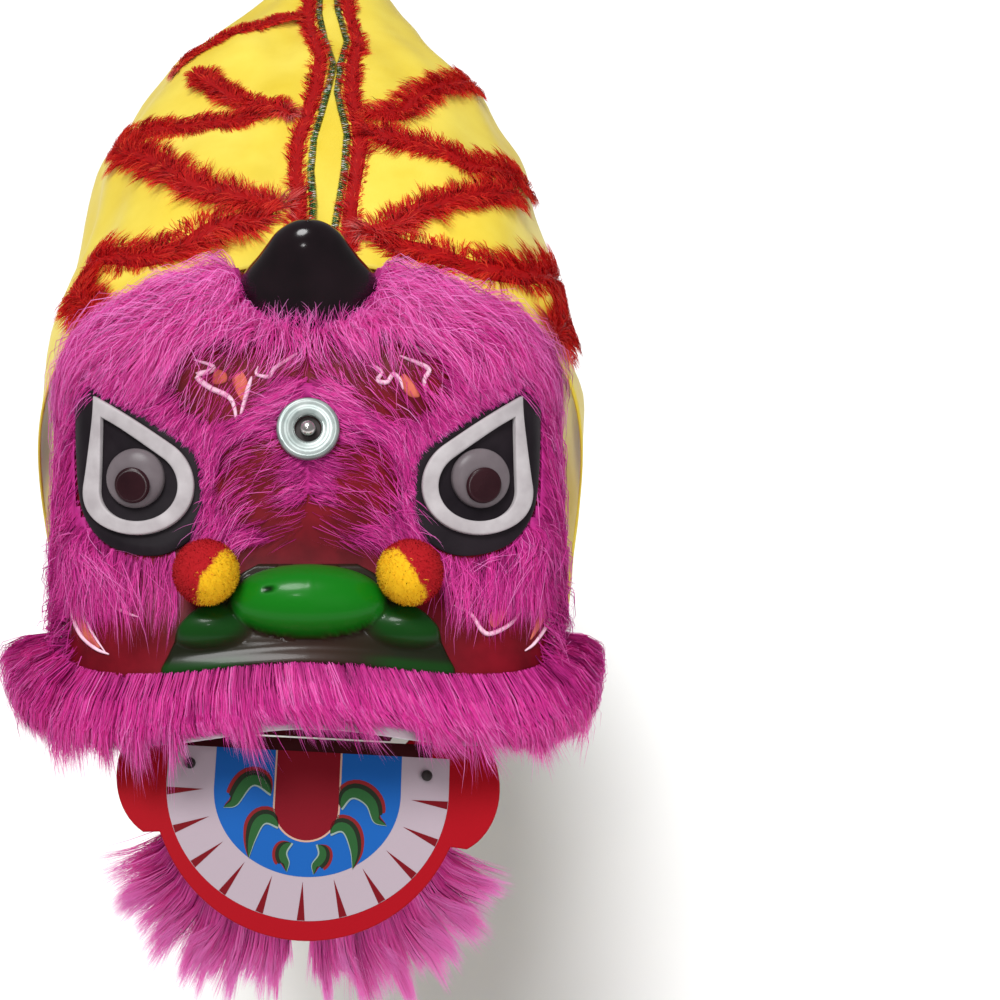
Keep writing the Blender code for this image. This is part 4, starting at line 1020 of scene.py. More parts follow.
def build_horn_wisps():
    """A few long light strands that stand up over the horn's foot."""
    random = np.random.default_rng(71)
    count, knots, *make = FUR_MAKES["wisps"]
    x = random.uniform(*WISP_X, count)
    v = WISP_V + random.uniform(*WISP_V_SPREAD, count) - 1.6 * np.abs(x) ** 1.5
    long = WISP_LENGTH * random.uniform(0.4, 1.2, count)
    lean = random.normal(0.10, 0.5, count)
    foot = head_at(x, v, SEAT_GAP)
    out = head_normal(u_of_x(x, v), v)
    aim = unit(np.stack((lean, random.normal(-0.45, 0.12, count), np.ones(count)), axis=-1))
    share = np.linspace(0.0, 1.0, knots)[None, :, None]
    way = out[:, None] * 0.55 * (1 - share) + aim[:, None]
    points = foot[:, None] + way * (long[:, None, None] * share)
    outward = np.broadcast_to(unit(out + np.array((0.0, -0.6, 0.2)))[:, None], points.shape)
    clumped_fur("horn_wisps", points, outward, make, random, 0.15)


COAT_U = (-0.97, 0.97)
COAT_V = (0.10, 0.93)
COAT_END = 0.82
COAT_THICKNESS = 0.0002


def build_undercoat():
    """The dense lower coat, painted in the fur's darker tones as painted shade deep in the fur, which shows
    between the strands.
    """
    u, v = spread_grid(*UNDERCOAT_GRID, COAT_U, COAT_V)
    x = plain_head(u, v)[..., 0]
    cover = head_cover(u, v, x, 0.80) * np.where(v > COAT_END, 0.0, 1.0)
    lift = fur_depth(u, v, x) * 0.42 * np.clip((head_cover(u, v, x) - 0.45) / 0.4, 0.0, 1.0)
    points = above_head(u, v, lift + COAT_THICKNESS)
    quads = grid_quads(*UNDERCOAT_GRID)
    kept = (cover.ravel()[quads] > 0.5).all(axis=1)
    mesh = raw_mesh("fur_undercoat", points.reshape(-1, 3), quads[kept])
    # darker streaked tones of painted shade, near the fur's shaded root end
    shaded_streak = 0.30 + 0.12 * np.sin(900 * x + 40 * v) * np.sin(130 * v + 30 * u)
    paint(mesh, shades(MAGENTA, shaded_streak.ravel()))
    face_away(mesh, HEAD_MIDDLE)
    wall(piece(mesh, "fur"), COAT_THICKNESS)


# Pieces of the head

def build_shell():
    """The hollow head, open below and behind."""
    mesh = sheet_mesh("head_moulding", hood_grid(head_surface, *SHELL_GRID), HEAD_MIDDLE)
    wall(piece(mesh, "shell", ("head_shell",)), HEAD_WALL)


def crown_height(x, y):
    """The head's height over (x, y) near the crown, found by halving the share along the profile."""
    low, high = np.zeros(np.shape(x)), np.full(np.shape(x), 0.45)
    for halving in range(22):
        middle = (low + high) / 2
        behind = head_surface(u_of_x(x, middle), middle)[..., 1] > y
        low, high = np.where(behind, middle, low), np.where(behind, high, middle)
    return head_surface(u_of_x(x, low), low)[..., 2]


def build_horn():
    """A rounded glossy cone whose foot spreads in soft lobes on the crown, open underneath."""
    sides, rows = HORN_GRID
    angle = 2 * math.pi * np.arange(sides) / sides
    fine = np.sin(np.linspace(0.0, 1.0, rows) * math.pi / 2)
    curve = smooth_path(HORN_PROFILE, 200)
    fine_scale = np.interp(fine, curve[:, 0], np.clip(curve[:, 1], 0.0, 2.0))
    fine_scale = fine_scale * np.clip((1.0 - fine) / 0.03, 0.0, 1.0) ** 0.5

    def ring(share, scale, inset):
        foot = (1 - share) ** 2
        lobes = 1 + 0.035 * foot * np.cos(3 * angle + math.pi / 2) + 0.02 * foot * np.cos(5 * angle)
        x = np.cos(angle) * np.maximum(HORN_HALF_X * scale * lobes - inset, 0.0003)
        y = HORN_Y + np.sin(angle) * np.maximum(HORN_HALF_Y * scale * lobes - inset, 0.0003)
        z = (crown_height(x, y) + SEAT_GAP) * (1 - share) + HORN_TOP * share
        return np.stack((x, y, z), axis=-1)

    outside = [ring(share, scale, 0.0) for share, scale in zip(fine, fine_scale)]
    inner = [ring(share * 0.95, scale, HORN_WALL) for share, scale in zip(fine, fine_scale)]
    loops = np.concatenate(outside[::-1] + inner)
    mesh = raw_mesh("horn_moulding", loops, grid_quads(sides, 2 * rows, wrap=True))
    face_away(mesh, (0.0, HORN_Y, 0.02))
    piece(mesh, "horn", ("horn",))


def build_mirror():
    """A round disc with eased edges, a dark recess floor in its hole, painted near black as the hole's
    shade, and a round-headed bolt.
    """
    place, across, up, out = head_frame(0.0, MIRROR_V)
    foot = place + out * MIRROR_GAP
    rim, hole, deep = MIRROR_RADIUS, MIRROR_HOLE, MIRROR_DEPTH
    disc = rounded((
        (rim - 0.0015, 0.0), (rim, 0.0), (rim, deep - 0.0012), (rim - 0.0012, deep - 0.0002),
        (rim - 0.0030, deep), (hole + 0.0020, deep - 0.0004), (hole + 0.0006, deep - 0.0008),
        (hole, deep - 0.0016), (hole, 0.0), (hole + 0.001, 0.0),
    ), 4)
    mesh = turned_mesh("mirror_plate", disc, 64, (foot, across, up, out))
    flip_if_inward(mesh, foot + out * deep * 0.5 + across * (rim + hole) / 2)
    piece(mesh, "metal", ("mirror_disc",), sharp=50)
    # the floor of the hole is near black: painted shade in the recess
    floor = ((0.0, 0.0014), (hole - 0.0004, 0.0014), (hole - 0.0004, 0.0002), (0.0, 0.0002))
    mesh = turned_mesh("mirror_recess_shade", floor, 40, (foot, across, up, out))
    piece(mesh, "recess_shade_metal", sharp=50)
    radius, high = BOLT_RADIUS, BOLT_HEIGHT
    bolt = [(0.0, high)]
    for angle in np.linspace(0.2, math.pi / 2, 8):
        bolt.append((radius * math.sin(angle), high - radius * 0.85 * (1 - math.cos(angle))))
    bolt += [(radius * 0.9, 0.0035), (radius * 0.9, 0.0), (0.0, 0.0)]
    mesh = turned_mesh("mirror_bolt_head", bolt, 40, (foot, across, up, out))
    piece(mesh, "bolt", ("mirror_bolt",))


def flip_if_inward(mesh, inside):
    """Turns a ring's faces so that the one nearest to a point in its body faces away from it."""
    point = Vector(inside)
    face = min(mesh.polygons, key=lambda item: (item.center - point).length)
    if face.normal.dot(face.center - point) < 0:
        mesh.flip_normals()


def eye_points(side, outline, lift):
    """Places on the face from the eye's middle: out from the nose, and up the slope."""
    x = side * (EYE_X + outline[:, 0])
    v = EYE_V - outline[:, 1] / PROFILE_LENGTH
    return head_at(x, v, lift)


def teardrop(radius, tip, samples):
    """A circle about the eye's middle drawn out to a tip by its two tangents."""
    reach = math.hypot(*tip)
    aim = math.atan2(tip[1], tip[0])
    half = math.acos(radius / reach)
    straight = samples // 6
    start, end = aim + half, aim - half + 2 * math.pi
    turn = np.linspace(start, end, samples - 2 * straight + 1)
    bow = np.stack((radius * np.cos(turn), radius * np.sin(turn)), axis=-1)
    share = np.arange(straight)[:, None] / straight
    first = np.array(tip) * (1 - share) + bow[0] * share
    last = bow[-1] * (1 - share) + np.array(tip) * share
    return np.vstack((first, bow[:-1], last))


def build_eye_panel(side, label):
    """The black leaf behind an eye, with an eased edge that goes down into the fur."""
    top, foot = PANEL_GAP + PANEL, PANEL_GAP - 0.0012
    outline = closed_path(PANEL_OUTLINE, 72)
    rings = [eye_points(side, outline * share, top) for share in (0.02, 0.3, 0.6, 0.85, 0.97)]
    rings.append(eye_points(side, outline, top - 0.0006))
    rings.append(eye_points(side, outline, foot))
    rings.append(eye_points(side, outline * 0.97, foot))
    quads = grid_quads(len(outline), len(rings), wrap=True)
    mesh = raw_mesh("eye_backing_" + label, np.concatenate(rings), quads)
    flip_to(mesh, head_frame(side * EYE_X, EYE_V)[3])
    piece(mesh, "panel", ("eye_panel_" + label,), sharp=60)


def flip_to(mesh, out):
    """Turns a shallow piece's faces so that most of its area looks along out."""
    total = sum(face.area * max(face.normal.dot(Vector(out)), 0.0) for face in mesh.polygons)
    other = sum(face.area * max(-face.normal.dot(Vector(out)), 0.0) for face in mesh.polygons)
    if other > total:
        mesh.flip_normals()


def build_eye_ring(side, label):
    """The pale teardrop frame, rounded on top."""
    seat = PANEL_GAP + PANEL
    outer = teardrop(RING_RADIUS, RING_TIP, 84)
    inner = teardrop(RING_RADIUS - RING_WIDTH, RING_INNER_TIP, 84)
    foot = seat + RING_GAP * 0.2
    loops = []
    for turn in np.linspace(0.0, math.pi, 9):
        share = (1 - math.cos(turn)) / 2
        lift = seat + RING_GAP + RING_HEIGHT * (0.55 + 0.30 * math.sin(turn) ** 0.5)
        loops.append(eye_points(side, outer * (1 - share) + inner * share, lift))
    loops.append(eye_points(side, inner, foot))
    loops.append(eye_points(side, outer, foot))
    loops.append(loops[0])
    quads = grid_quads(len(outer), len(loops), wrap=True) % (len(outer) * (len(loops) - 1))
    mesh = raw_mesh("eye_frame_" + label, np.concatenate(loops[:-1]), quads)
    flip_to(mesh, head_frame(side * EYE_X, EYE_V)[3])
    piece(mesh, "ring", ("eye_ring_" + label,), sharp=50)


def build_eyeball(side, label):
    """The grey dome with its dark pupil, which looks a little down."""
    x, v = side * (EYE_X + EYEBALL_OUT), EYE_V - EYEBALL_UP / PROFILE_LENGTH
    place, across, up, out = head_frame(x, v)
    radius, height = EYEBALL_RADIUS, EYEBALL_HEIGHT
    foot = place + out * (PANEL_GAP + PANEL + EYEBALL_GAP)
    edge = EYEBALL_EDGE
    ball = [(0.0, height)]
    for angle in np.linspace(0.1, math.pi / 2, 12):
        ball.append((radius * math.sin(angle), edge + (height - edge) * math.cos(angle)))
    ball += [(radius, -EYEBALL_GAP * 0.8), (0.0, -EYEBALL_GAP * 0.8)]
    mesh = turned_mesh("eye_dome_" + label, ball, 64, (foot, across, up, out))
    piece(mesh, "eyeball", ("eyeball_" + label,), sharp=50)
    tilt = math.asin(PUPIL_DROP / radius) * 0.8
    aim = out * math.cos(tilt) - up * math.sin(tilt)
    raised = up * math.cos(tilt) + out * math.sin(tilt)
    seat = foot - up * PUPIL_DROP + out * height + aim * PUPIL_GAP
    thin = PUPIL_HEIGHT
    disc = rounded((
        (0.0, thin), (PUPIL_RADIUS * 0.7, thin * 0.9), (PUPIL_RADIUS, thin * 0.5), (PUPIL_RADIUS, -0.001),
        (0.0, -0.001),
    ), 5)
    mesh = turned_mesh("eye_pupil_" + label, disc, 48, (seat, across, raised, aim))
    piece(mesh, "pupil", ("pupil_" + label,))


def swelling(across, along, values):
    """Height of a rounded swelling at (across, along)."""
    shape = dict(zip(SWELLING_COLUMNS, values))
    reach_x = (np.abs(across) - shape["x"]) / shape["half_x"]
    reach_y = (along - shape["up"]) / shape["half_up"]
    return shape["height"] * np.maximum(1 - reach_x**2 - reach_y**2, 0.0) ** shape["softness"]


# Nose colours: a lit green for the bulge, a darker green of painted shade for the wings, and painted shade
# for the low parts, brown in the middle as a painted reflection of the red shell
NOSE_LIT_GREEN = (0.004, 0.130, 0.005)
NOSE_SHADED_WING_GREEN = (0.004, 0.040, 0.004)
NOSE_SHADE = (0.008, 0.010, 0.004)
NOSE_SHADE_REFLECTION_BROWN = (0.024, 0.010, 0.006)
NOSE_CHIP = (-0.0230, 0.0100, 0.0032, 0.0018)
NOSE_CHIP_DEPTH = 0.0014
NOSE_SEAM_X = 0.001
NOSE_SEAM_WIDTH = 0.0006
NOSE_SEAM_HEIGHT = 0.0005
NOSE_GROOVE_UP = -0.0215
NOSE_GROOVE_WIDTH = 0.0040
NOSE_GROOVE_DEPTH = 0.0009
NOSE_EDGE = 0.003


def build_nose():
    """One glossy moulding: a round bulge with a fine seam, two side wings and a flange under them."""
    ups, widths = np.array(NOSE_ROWS).T
    share, up = spread_grid(*NOSE_GRID, (-1.0, 1.0), (ups[0], ups[-1]))
    half = np.interp(-up, -ups, widths)
    x = half * share
    bulge, wing = swelling(x, up, BULGE), swelling(x, up, WING)
    rise = (bulge**2.4 + wing**2.4) ** (1 / 2.4)
    seam = NOSE_SEAM_HEIGHT * np.exp(-((x - NOSE_SEAM_X) / NOSE_SEAM_WIDTH) ** 2)
    chip_x, chip_up, chip_wide, chip_high = NOSE_CHIP
    chip = NOSE_CHIP_DEPTH * np.exp(-((x - chip_x) / chip_wide) ** 4 - ((up - chip_up) / chip_high) ** 4)
    low = np.exp(-((up - NOSE_GROOVE_UP) / NOSE_GROOVE_WIDTH) ** 2)
    groove = NOSE_GROOVE_DEPTH * low * np.clip(rise < 0.004, 0, 1)
    edge = np.minimum(half - np.abs(x), np.minimum(ups[0] - up, up - ups[-1]))
    ease = np.clip(edge / NOSE_EDGE, 0.0, 1.0)
    lift = SEAT_GAP + NOSE_BASE * (0.35 + 0.65 * np.sqrt(1 - (1 - ease) ** 2)) + rise + seam - chip - groove
    v = NOSE_V - up / PROFILE_LENGTH
    over, under = head_at(x, v, lift), head_at(x, v, SEAT_GAP * 0.5)
    mesh = closed_slab("nose_moulding", over, under, head_frame(0.0, NOSE_V)[3])
    colour = nose_colour(x, up, bulge, rise, chip).reshape(-1, 3)
    paint(mesh, np.concatenate((colour, colour)))
    piece(mesh, "nose", ("nose",), sharp=60)


def nose_colour(x, up, bulge, rise, chip):
    """Green on the bulge, the wings and the flange's ends, brown between them and dark in the chip. The
    bulge takes a lighter green as painted light and the wings a darker green as painted shade; the low
    parts between are painted shade, brown in the middle as a painted reflection of the red shell.
    """
    flange = np.clip((-0.0240 - up) / 0.004, 0.0, 1.0) * np.clip((np.abs(x) - 0.030) / 0.02, 0.0, 1.0)
    lit = np.clip(bulge / 0.008, 0.0, 1.0)[..., None]
    lit_or_shaded_green = np.array(NOSE_LIT_GREEN) * lit + np.array(NOSE_SHADED_WING_GREEN) * (1 - lit)
    green = np.clip(rise / 0.006 + 0.8 * flange, 0.0, 1.0)[..., None]
    reflected_brown = np.clip(1.2 - np.abs(x) / 0.045, 0.0, 1.0)[..., None]
    # the low parts carry painted shade, brown in the middle as a painted reflection of the red shell
    shaded_ground = np.array(NOSE_SHADE) * (1 - reflected_brown) + np.array(NOSE_SHADE_REFLECTION_BROWN) * reflected_brown
    colour = shaded_ground * (1 - green) + lit_or_shaded_green * green
    dark = np.clip(chip / 0.001, 0.0, 1.0)[..., None]
    return colour * (1 - 0.95 * dark)


def closed_slab(name, over, under, out):
    """A closed body between an upper and a lower grid of points, with its upper side towards out."""
    rows, columns = over.shape[:2]
    quads = grid_quads(columns, rows)
    size = rows * columns
    edge = list(range(columns))
    edge += [row * columns + columns - 1 for row in range(1, rows)]
    edge += [(rows - 1) * columns + index for index in range(columns - 2, -1, -1)]
    edge += [row * columns for row in range(rows - 2, 0, -1)]
    edge = np.array(edge)
    following = np.roll(edge, -1)
    rim = np.stack((edge, edge + size, following + size, following), axis=-1)
    faces = np.concatenate((quads, quads[:, ::-1] + size, rim))
    mesh = raw_mesh(name, np.concatenate((over.reshape(-1, 3), under.reshape(-1, 3))), faces)
    if mesh.polygons[len(quads) // 2].normal.dot(Vector(out)) < 0:
        mesh.flip_normals()
    return mesh


# Pompom colours: shaded, middle and lit shades of red and yellow
POMPOM_RED = ((0.20, 0.004, 0.006), (0.46, 0.010, 0.016), (0.62, 0.030, 0.040))
POMPOM_YELLOW = ((0.70, 0.28, 0.006), (0.90, 0.54, 0.014), (0.95, 0.68, 0.050))
POMPOM_SPLITS = {-1: (0.80, -0.60, 0.25, 0.40), 1: (-0.80, -0.60, 0.25, 0.28)}


def yellow_part(way, split, limit):
    """Whether directions from a pompom's middle lie in its yellow part, which has a wavy edge."""
    return (way @ split) + 0.05 * np.sin(7 * way[:, 0] + 5 * way[:, 2]) > limit


def build_pompom(side, label, seed):
    """A ball of cut yarn: short strands that stand out all round, red with a yellow part."""
    random = np.random.default_rng(seed)
    place, across, up, out = head_frame(side * POMPOM_X, POMPOM_V)
    centre = place + out * (POMPOM_RADIUS + POMPOM_LIFT)
    count, knots, width = POMPOM_STRANDS
    way = unit(random.normal(0.0, 1.0, (count, 3)))
    toward_x, toward_up, toward_out, limit = POMPOM_SPLITS[side]
    split = unit(across * toward_x + up * toward_up + out * toward_out)
    inner = way * POMPOM_RADIUS * 0.86
    reach = POMPOM_RADIUS * random.uniform(0.97, 1.05, (count, 1))
    bend = unit(way + random.normal(0.0, 0.12, (count, 3)))
    points = np.stack((inner, (inner + bend * reach) / 2, bend * reach), axis=1) + centre
    yellow = yellow_part(way, split, limit)[:, None, None]
    # each strand is painted darker at its root inside the ball as painted shade, and lighter at its tip as
    # painted light
    tone = 0.50 + random.normal(0.0, 0.07, (count, 1)) + np.array((-0.1, 0.05, 0.15))
    colour = np.where(yellow, shades(POMPOM_YELLOW, tone), shades(POMPOM_RED, tone))
    outward = way[:, None, :].repeat(knots, axis=1)
    strands(
        "pompom_yarn_" + label, points, outward, width, colour, random, ("pompom_" + label,),
        "yarn",
    )
    build_pompom_core(label, (centre, across, up, out), split, limit)


def build_pompom_core(label, place, split, limit):
    """The ball that closes the gaps between a pompom's strands."""
    radius = POMPOM_RADIUS * 0.97
    core = [(radius * math.sin(turn), radius * math.cos(turn)) for turn in np.linspace(0.0, math.pi, 24)]
    core[0], core[-1] = (0.0, core[0][1]), (0.0, core[-1][1])
    mesh = turned_mesh("pompom_core_" + label, core, 40, place)
    face_away(mesh, place[0])
    way = unit(np.array([vertex.co[:] for vertex in mesh.vertices]) - place[0])
    yellow = yellow_part(way, split, limit)[:, None]
    paint(mesh, np.where(yellow, POMPOM_YELLOW[1], POMPOM_RED[1]))
    piece(mesh, "yarn")


# Painted ornaments, in places (x, v) on the face
SCROLLS = (
    # points of the line, and its width
    (((-0.0710, 0.320), (-0.0590, 0.331), (-0.0610, 0.340), (-0.0690, 0.348), (-0.0610, 0.367),
      (-0.0495, 0.382), (-0.0455, 0.402), (-0.0440, 0.434)), 0.0030),
    (((-0.0420, 0.418), (-0.0390, 0.387), (-0.0370, 0.367), (-0.0350, 0.348)), 0.0026),
    (((-0.0310, 0.330), (-0.0320, 0.344), (-0.0240, 0.348), (-0.0210, 0.334), (-0.0100, 0.312),
      (-0.0060, 0.304)), 0.0022),
    (((0.0540, 0.272), (0.0650, 0.292), (0.0730, 0.307), (0.0790, 0.315)), 0.0020),
    (((0.0570, 0.312), (0.0690, 0.327), (0.0750, 0.338), (0.0720, 0.354), (0.0730, 0.374)), 0.0026),
    (((0.0400, 0.327), (0.0460, 0.340), (0.0430, 0.354), (0.0490, 0.358), (0.0530, 0.344),
      (0.0570, 0.354), (0.0590, 0.370)), 0.0024),
    (((-0.1470, 0.775), (-0.1460, 0.800), (-0.1400, 0.830), (-0.1300, 0.850), (-0.1210, 0.858)), 0.0022),
    (((-0.1400, 0.765), (-0.1370, 0.795), (-0.1310, 0.825), (-0.1230, 0.856)), 0.0014),
    (((-0.1300, 0.745), (-0.1240, 0.765), (-0.1120, 0.785), (-0.1020, 0.795)), 0.0018),
    (((0.0880, 0.775), (0.0980, 0.790), (0.1040, 0.815), (0.1100, 0.822), (0.1230, 0.805),
      (0.1320, 0.775)), 0.0024),
    (((0.1480, 0.760), (0.1540, 0.785), (0.1500, 0.815), (0.1400, 0.845), (0.1330, 0.856)), 0.0020),
)
FLAMES = (
    ((-0.0410, 0.337), (-0.0370, 0.362), (-0.0390, 0.392), (-0.0440, 0.377), (-0.0470, 0.352)),
    ((-0.0580, 0.334), (-0.0510, 0.342), (-0.0510, 0.357), (-0.0590, 0.360)),
    ((0.0560, 0.354), (0.0600, 0.344), (0.0670, 0.367), (0.0690, 0.382), (0.0620, 0.380)),
    ((-0.1450, 0.795), (-0.1410, 0.790), (-0.1340, 0.820), (-0.1270, 0.848), (-0.1370, 0.835)),
    ((0.1120, 0.780), (0.1180, 0.765), (0.1210, 0.785), (0.1130, 0.812), (0.1090, 0.800)),
    ((0.1430, 0.780), (0.1480, 0.775), (0.1470, 0.805), (0.1370, 0.838), (0.1400, 0.810)),
)
PAINT_LIFT = 0.0008


def build_ornaments():
    """Raised paint lines with flat flames between them, on the forehead and the cheeks."""
    for number, (line, width) in enumerate(SCROLLS):
        route = smooth_path(line, 28)
        share = np.linspace(0.0, 1.0, len(route))
        swell = np.sin(math.pi * np.clip(share * 0.94 + 0.03, 0, 1)) ** 0.5
        radii = width * 0.62 * np.clip(swell, 0.15, 1.0)
        centres = head_at(route[:, 0], route[:, 1], PAINT_LIFT * 0.5)
        mesh = tube_mesh(f"scroll_line_{number + 1}", centres, radii, 8)
        piece(mesh, "scroll")
    for number, outline in enumerate(FLAMES):
        edge = closed_path(outline, 32)
        middle = edge.mean(axis=0)
        points = []
        for share, lift in ((0.02, PAINT_LIFT), (0.5, PAINT_LIFT), (0.9, PAINT_LIFT), (1.0, 0.0)):
            ring = middle + (edge - middle) * share
            points.append(head_at(ring[:, 0], ring[:, 1], lift))
        mesh = raw_mesh(f"flame_{number + 1}", np.concatenate(points), grid_quads(len(edge), 4, wrap=True))
        flip_to(mesh, head_normal(u_of_x(middle[0], middle[1]), middle[1]))
        piece(mesh, "flame")


# Lip

def lip_outward(u):
    """The level direction out of the lip's edge at u."""
    near = head_surface(np.maximum(u - 0.01, -1.0), 1.0)
    run = head_surface(np.minimum(u + 0.01, 1.0), 1.0) - near
    return unit(np.stack((run[..., 1], -run[..., 0], 0 * run[..., 0]), axis=-1))


def lip_path(u, root_v, s, reach, sweep, drop):
    """Points of the lip's fur and their outward direction at shares s of its length."""
    root = above_head(u, root_v, SEAT_GAP)
    edge = head_surface(u, 1.0)
    out = lip_outward(u)
    along = np.stack((-out[..., 1], out[..., 0], 0 * u), axis=-1)
    corner = np.clip((np.abs(u) - 0.5) / 0.36, 0.0, 1.0)
    raised = np.array((0.0, 0.0, LIP_FUR_RISE))
    fallen = np.stack((0 * u, 0 * u, drop * (1 - 0.55 * corner)), axis=-1)
    out_reach = (reach * (0.6 + np.where(u > 0, 0.05, 0.42) * corner))[..., None]
    bend = edge + out * 0.010 + out_reach * out * 0.5 + raised + along * (sweep * 0.25)[..., None]
    tip = edge + out * out_reach - fallen + along * sweep[..., None]
    s = s[:, None, None]
    rising = unit(head_normal(u, 0.905) * (1 - s) + out * s)
    return drawn_curve(root, bend, tip, s), rising


LIP_DEPTH_SHARES = (0.0, 0.35, 0.70, 1.0)
LIP_DEPTHS = (0.30, 1.0, 0.75, 0.15)
LIP_DEPTH = 0.014
LIP_SWEEP_U = (-0.88, -0.60, -0.30, 0.00, 0.30, 0.60, 0.88)
LIP_SWEEP = (-0.020, -0.020, -0.006, 0.022, 0.030, 0.030, 0.020)
LIP_LENGTH_U = (0.0, 0.30, 0.50, 0.70)
LIP_LENGTHS = (0.0, 0.15, 0.55, 0.85)
LIP_REACH_U = (0.0, 0.25, 0.50, 0.70)
LIP_REACHES = (0.12, 0.25, 0.75, 1.0)
LIP_FUR_END_U = 0.885
LIP_ROOT_V = 0.890
LIP_ROOT_SPAN = 0.085
LIP_TUFT_START = 0.40
LIP_TUFT_LENGTH = 1.65
LIP_TUFT_REACH = 0.65


def build_lip_fur(seed):
    """Fur that grows above the lip and bends over its edge, longer in tufts and towards the corners."""
    random = np.random.default_rng(seed)
    count, knots, *make = FUR_MAKES["lip"]
    u = random.uniform(-LIP_FUR_END_U, LIP_FUR_END_U, count)
    root_v = LIP_ROOT_V + LIP_ROOT_SPAN * random.uniform(0.0, 1.0, count) ** 1.4
    wave = np.sin(u * 66.0 + 2.2 * np.sin(u * 17.0)) + 0.4 * np.sin(u * 171.0 + 1.0)
    tuft = np.clip(wave - LIP_TUFT_START, 0.0, 1.0) * random.uniform(0.0, 1.0, count) ** 0.6
    length = np.interp(np.abs(u), LIP_LENGTH_U, LIP_LENGTHS)
    thick = np.interp(np.abs(u), LIP_REACH_U, LIP_REACHES)
    reach = LIP_FUR_OUT * random.uniform(0.5, 1.25, count) * (thick + LIP_TUFT_REACH * tuft * (1 - length))
    drop = LIP_FUR_DROP * random.uniform(0.35, 1.15, count) * (length + LIP_TUFT_LENGTH * tuft)
    sweep = np.interp(u, LIP_SWEEP_U, LIP_SWEEP) * random.uniform(0.5, 1.4, count)
    sweep = (sweep + random.normal(0, 0.007, count)) * (0.70 + 0.45 * tuft)
    shares = np.linspace(0.0, 1.0, knots)
    points, outward = lip_path(u, root_v, shares, reach, sweep, drop)
    points, outward = points.transpose(1, 0, 2), outward.transpose(1, 0, 2)
    depth = LIP_DEPTH * random.uniform(0.0, 1.0, count)[:, None]
    depth = depth * np.interp(shares, LIP_DEPTH_SHARES, LIP_DEPTHS)
    points = points + outward * depth[..., None]
    clumped_fur("lip_fur_strands", points, outward, make, random, 0.05, nodes=("lip_fur",))


BINDING_END_U = 0.80
BINDING_WAVES = (0, 0, 0.4, 1, 0.8, 0.3)


def build_lip_binding():
    """Pale tape over the lip's lower edge, slightly wavy where it hangs free."""
    u = np.linspace(-BINDING_END_U, BINDING_END_U, 161)
    out = head_normal(u, 0.99)
    run = unit(head_surface(u, 1.0) - head_surface(u, 0.97))
    rows = [head_surface(u, share) for share in (0.965, 0.985, 1.0)]
    rows += [head_surface(u, 1.0) + run * BINDING_DEPTH * share for share in (0.5, 0.9, 1.0)]
    lift = SEAT_GAP + BINDING_WALL + 0.0003 * np.sin(u * 260.0) * np.array(BINDING_WAVES)[:, None]
    points = np.stack(rows) + out[None] * lift[..., None]
    mesh = sheet_mesh("lip_binding_tape", points, LIP_MIDDLE)
    wall(piece(mesh, "binding", ("lip_binding",)), BINDING_WALL)


# Jaw

def jaw_frame():
    """The board's middle with its directions across, up along the board and out of its front."""
    out = np.array((0.0, -math.cos(JAW_NORMAL_RISE), math.sin(JAW_NORMAL_RISE)))
    level = np.array((1.0, 0.0, 0.0))
    up = np.cross(out, level)
    across = level * math.cos(JAW_ROLL) + up * math.sin(JAW_ROLL)
    return np.array(JAW_CENTRE), across, np.cross(out, across), out


def jaw_points(across, up, out):
    centre, x_way, y_way, z_way = jaw_frame()
    across, up, out = (np.asarray(value, float)[..., None] for value in (across, up, out))
    return centre + x_way * across + y_way * up + z_way * out


def arc(centre, half_width, half_height, start, end, steps):
    turn = np.linspace(start, end, steps + 1)
    x = centre[0] + half_width * np.cos(turn)
    return np.stack((x, centre[1] + half_height * np.sin(turn)), axis=-1)


def jaw_outline():
    """The board: a round chin with an ear on each side, flat between the ears."""
    ear_inner = math.pi - math.asin((JAW_TOP - EAR_UP) / EAR_HALF_HEIGHT)
    ear = arc((EAR_X, EAR_UP), EAR_HALF_WIDTH, EAR_HALF_HEIGHT, EAR_START, ear_inner, 32)
    chin_end = math.atan2(ear[0][1], ear[0][0]) - 0.03
    chin = arc((0.0, 0.0), JAW_RADIUS, JAW_RADIUS, -math.pi - chin_end, chin_end, 72)
    left = ear[::-1] * np.array((-1.0, 1.0))
    return np.vstack((left, chin, ear))


def build_jaw_board():
    """The board with an eased edge and its two cord holes."""
    curve = bpy.data.curves.new("jaw_panel", "CURVE")
    curve.dimensions = "2D"
    curve.fill_mode = "BOTH"
    curve.extrude = JAW_BOARD / 2 - BOARD_EASE
    curve.bevel_depth = BOARD_EASE
    curve.bevel_resolution = 2
    radius = TIE_HOLE + BOARD_EASE
    hole = arc((0.0, 0.0), radius, radius, 0.0, 2 * math.pi, 24)[:-1]
    outlines = [shrink(jaw_outline(), BOARD_EASE)]
    outlines += [hole + np.array((side * TIE_X, TIE_UP)) for side in (-1, 1)]
    for outline in outlines:
        spline = curve.splines.new("POLY")
        spline.points.add(len(outline) - 1)
        for point, (x, y) in zip(spline.points, outline):
            point.co = (x, y, 0.0, 1.0)
        spline.use_cyclic_u = True
    made = bpy.data.objects.new("jaw_curve", curve)
    bpy.context.scene.collection.objects.link(made)
    ready = made.evaluated_get(bpy.context.evaluated_depsgraph_get())
    mesh = bpy.data.meshes.new_from_object(ready)
    mesh.name = "jaw_panel"
    bpy.data.objects.remove(made)
    flat = np.array([vertex.co[:] for vertex in mesh.vertices])
    mesh.vertices.foreach_set("co", jaw_points(*flat.T).astype(np.float32).ravel())
    mesh.update()
    paint(mesh, np.full((len(flat), 3), BOARD_RED))
    piece(mesh, "print", ("jaw_board",), sharp=40)


def shrink(outline, inset):
    """An outline drawn in by a small distance along its own normals."""
    run = np.roll(outline, -1, axis=0) - np.roll(outline, 1, axis=0)
    normal = unit(np.stack((-run[:, 1], run[:, 0]), axis=-1))
    return outline + normal * inset


